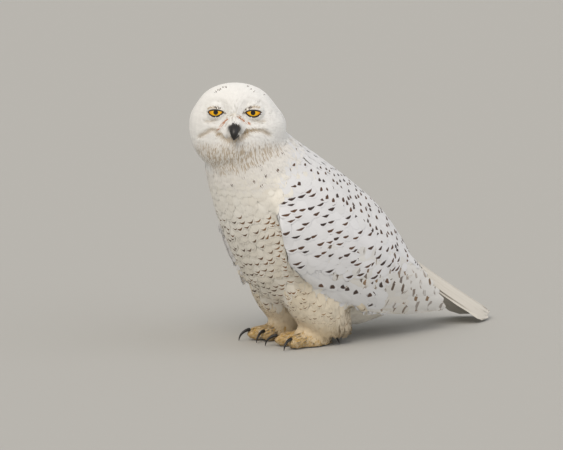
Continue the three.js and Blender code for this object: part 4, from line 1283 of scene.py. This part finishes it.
down_roots = scatter(1.0 * (on_wings & ~on_primaries), spacing=0.0085, seed=65)
down_at = (down_roots - body_zero) * 1000
above_foot = down_at[:, 2] - np.interp(down_at[:, 1], *WING_FOOT)
coat("wing_down", down_roots, covert_white, "wing_feathers", body_unwrap,
     length=0.010 + 0.014 * ramp(above_foot, 0, 18), width=0.0150, depth=0.0016, strands=4,
     seed=66, camber=0.03, arch=0.03, ragged=0.05, slack=0.0001, lower=0.0015)
mantle_axis = body_zero + np.array([0, -0.075, 0.255])
spine = np.array([0, 0.74, -0.672])
mantle_roots = ring_rows(mantle_axis, spine, np.array([0, 0.672, 0.74]), np.arange(-0.030, 0.300, 0.0100),
                         first=-2.1, last=2.1, spacing=0.0140, jitter=0.12, seed=63)
mantle_at = (mantle_roots - body_zero) * 1000
over_edge = mantle_at[:, 2] > np.interp(mantle_at[:, 1], *SCAPULAR_EDGE) + 12
mantle_roots = mantle_roots[over_edge & (mantle_at[:, 1] > -85)]
spots = wing_dice.uniform(0, 1, len(mantle_roots))
shown_at = (tips_of(mantle_roots, 0.028) - body_zero) * 1000
plain = ramp(shown_at[:, 1] + 0.8 * (shown_at[:, 2] - 250), -22, -40)
plain = np.maximum(plain, ramp(shown_at[:, 2] + 0.2 * shown_at[:, 1], 274, 277))
young = ramp(shown_at[:, 2] + 0.3 * shown_at[:, 1], 235, 280)
coat("mantle_feathers", mantle_roots, scapular_white, "wing_feathers", body_unwrap,
     length=0.034 - 0.010 * young, width=0.0215 - 0.0080 * young, depth=0.0020,
     stations=COVERT_STATIONS, columns=COVERT_COLUMNS, swing=0.06, camber=0.03, ragged=0.02,
     tip=0.3, widest=0.6, tilt=0.00012, arch=0.03, slack=0.00005, patch=0.012,
     marks={"mark": 0.97 * (spots > 0.38 - 0.30 * young) * (spots > plain)}, seed=64)


# ---------------------------------------------------------------- tail
# Twelve long flat feathers fanned from the rump, the middle pair on top, closed below by the
# undertail coverts.

# Each feather's place counted out from the middle, the outermost pair first, which is the lowest.
TAIL_K = np.array([-5.5, 5.5, -4.5, 4.5, -3.5, 3.5, -2.5, 2.5, -1.5, 1.5, -0.5, 0.5])
tail_t = QUILL_STATIONS[None, :, None]
tail_root = np.stack([2.8 * TAIL_K, np.full(12, 190.0), np.zeros(12)], 1)[:, None, :]
tail_tip = np.stack([5.4 * TAIL_K, 365 - 3.6 * np.abs(TAIL_K), np.zeros(12)], 1)[:, None, :]
tail_paths = (tail_root * (1 - tail_t) + tail_tip * tail_t) / 1000 + body_zero
tail_length = np.linalg.norm(tail_tip - tail_root, axis=-1)[:, 0] / 1000
order = (np.arange(12) // 2)[:, None] * np.ones(len(QUILL_STATIONS))


def tail_unwrap(at):
    """The tail seen flat, across and along."""
    return np.stack([at[:, 0] / 0.12 + 0.5, (at[:, 1] - body_zero[1] - 0.18) / 0.2], 1)


for name, down_or_up in (("tail_upper", -1.0), ("tail_under", 1.0)):
    lines = projected(tail_paths, np.array([0.0, 0.0, down_or_up]), 0.3)
    piece = build_vanes(name, lines, tail_length, np.full(12, 0.021), QUILL_STATIONS, QUILL_COLUMNS,
                        -0.0020 + 0.0003 * order, flight_white, "tail_feathers", tail_unwrap,
                        camber=0.04, ragged=0.01, base=0.6, tip=0.35, widest=0.85, patch=0.04,
                        marks={"warm": 0.32}, seed=32)
    if down_or_up < 0:
        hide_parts("tail")


# ---------------------------------------------------------------- legs and feet
# Down-like feathers all over the legs and the toes to the claws, as on all arctic owls: fluffy
# and barred with tan above, short, dense and buff on the feet.

down_white = plumage("leg_down", "#F3ECDC", "#C29F5E", "#5A3A1E", "#9A7748",
                     bar_at=0.8, bar_high=0.045, bar_wide=0.95, bend=0.15)
leg_roots = scatter(1.0 * on_legs, spacing=0.0052, seed=15)
leg_dice = np.random.default_rng(70)
leg_local = (leg_roots - body_zero) * 1000
wisps = ramp(leg_local[:, 1], 20, 50) * ramp(leg_local[:, 2], 75, 50)
leg_barred = leg_dice.uniform(0, 1, len(leg_roots)) > 0.5
# Painted shade on the legs: their tan, partly their own, deepens towards the feet, and the umber on the
# long wisps low at the back of each leg is painted shadow.
coat("leg_feathers", leg_roots, down_white, "foot_feathers", body_unwrap,
     length=0.024 + 0.010 * wisps, width=0.0105, depth=0.0045, strands=5, seed=16,
     swing=0.15, lift=0.007 * wisps, camber=0.03, arch=0.03,
     ragged=0.06, slack=0.0002,
     marks={"mark": 0.9 * leg_barred * ramp(leg_roots[:, 2], 0.04, 0.07),
            "warm": 0.22 + 0.35 * ramp(leg_roots[:, 2], 0.07, 0.025), "dark": 0.25 * wisps})
foot_roots = scatter(1.0 * on_feet * (form_at[:, 2] > 0.0015), spacing=0.0021, seed=17)
foot_dice = np.random.default_rng(71)
inner_side = np.exp(-(((foot_roots[:, 0] - 0.004) / 0.014) ** 2)) * ramp(foot_roots[:, 2], 0.004, 0.014)
coat("foot_feathers", foot_roots, down_white, "foot_feathers", body_unwrap,
     length=0.0085, width=0.0024, depth=0.0022, seed=18, swing=0.2,
     marks={"warm": 0.62 + 0.38 * foot_dice.uniform(0, 1, len(foot_roots)), "rust": 0.4 * inner_side})


# ---------------------------------------------------------------- the skin's own markings
# Where the coat parts, the skin and the down below show the same pattern as the feathers over it,
# as on a living bird, so no gap looks bare.

# The tan copied here includes the feathers' painted shade in the face's folds, in the beard and low on the
# belly and legs.
spots = np.vstack(marked_spots)
skin_at = read(skin.data, "co")
amounts = np.zeros((len(skin_at), 3))
loud = spots[np.max(spots[:, 3:6], 1) > 0.25]
for start in range(0, len(skin_at), 2000):
    here = skin_at[start:start + 2000]
    gap = np.sum(here ** 2, 1)[:, None] + np.sum(loud[:, :3] ** 2, 1)[None] - 2 * here @ loud[:, :3].T
    cover = np.exp(-np.maximum(gap, 0) / np.maximum(loud[:, 6], 0.0012) ** 2)
    for kind in range(3):
        amounts[start:start + 2000, kind] = np.max(cover * loud[:, 3 + kind], 1)
write(skin.data, "mark", amounts[:, 0])
write(skin.data, "warm", amounts[:, 1])
write(skin.data, "rust", amounts[:, 2])
# White down over pale skin: matt and soft, browned under the feathers' marks and under their painted shade.
down, tree, shader = new_finish("skin_and_down")
ground = paint("#F3EFE6")
for label, most, colour in (("warm", 1.0, "#C9B48C"), ("rust", 1.0, "#B8702E"), ("mark", 0.8, "#4E2E18")):
    amount = add(tree, "ShaderNodeAttribute", attribute_name=label).outputs["Fac"]
    share = add(tree, "ShaderNodeMath", {0: amount, 1: most}, operation="MULTIPLY").outputs[0]
    ground = add(tree, "ShaderNodeMix", {0: share, 6: ground, 7: paint(colour)},
                 data_type="RGBA").outputs[2]
tree.links.new(ground, shader.inputs["Base Color"])
shader.inputs["Roughness"].default_value = 0.9
skin.data.materials.append(down)
bpy.data.objects.remove(form)
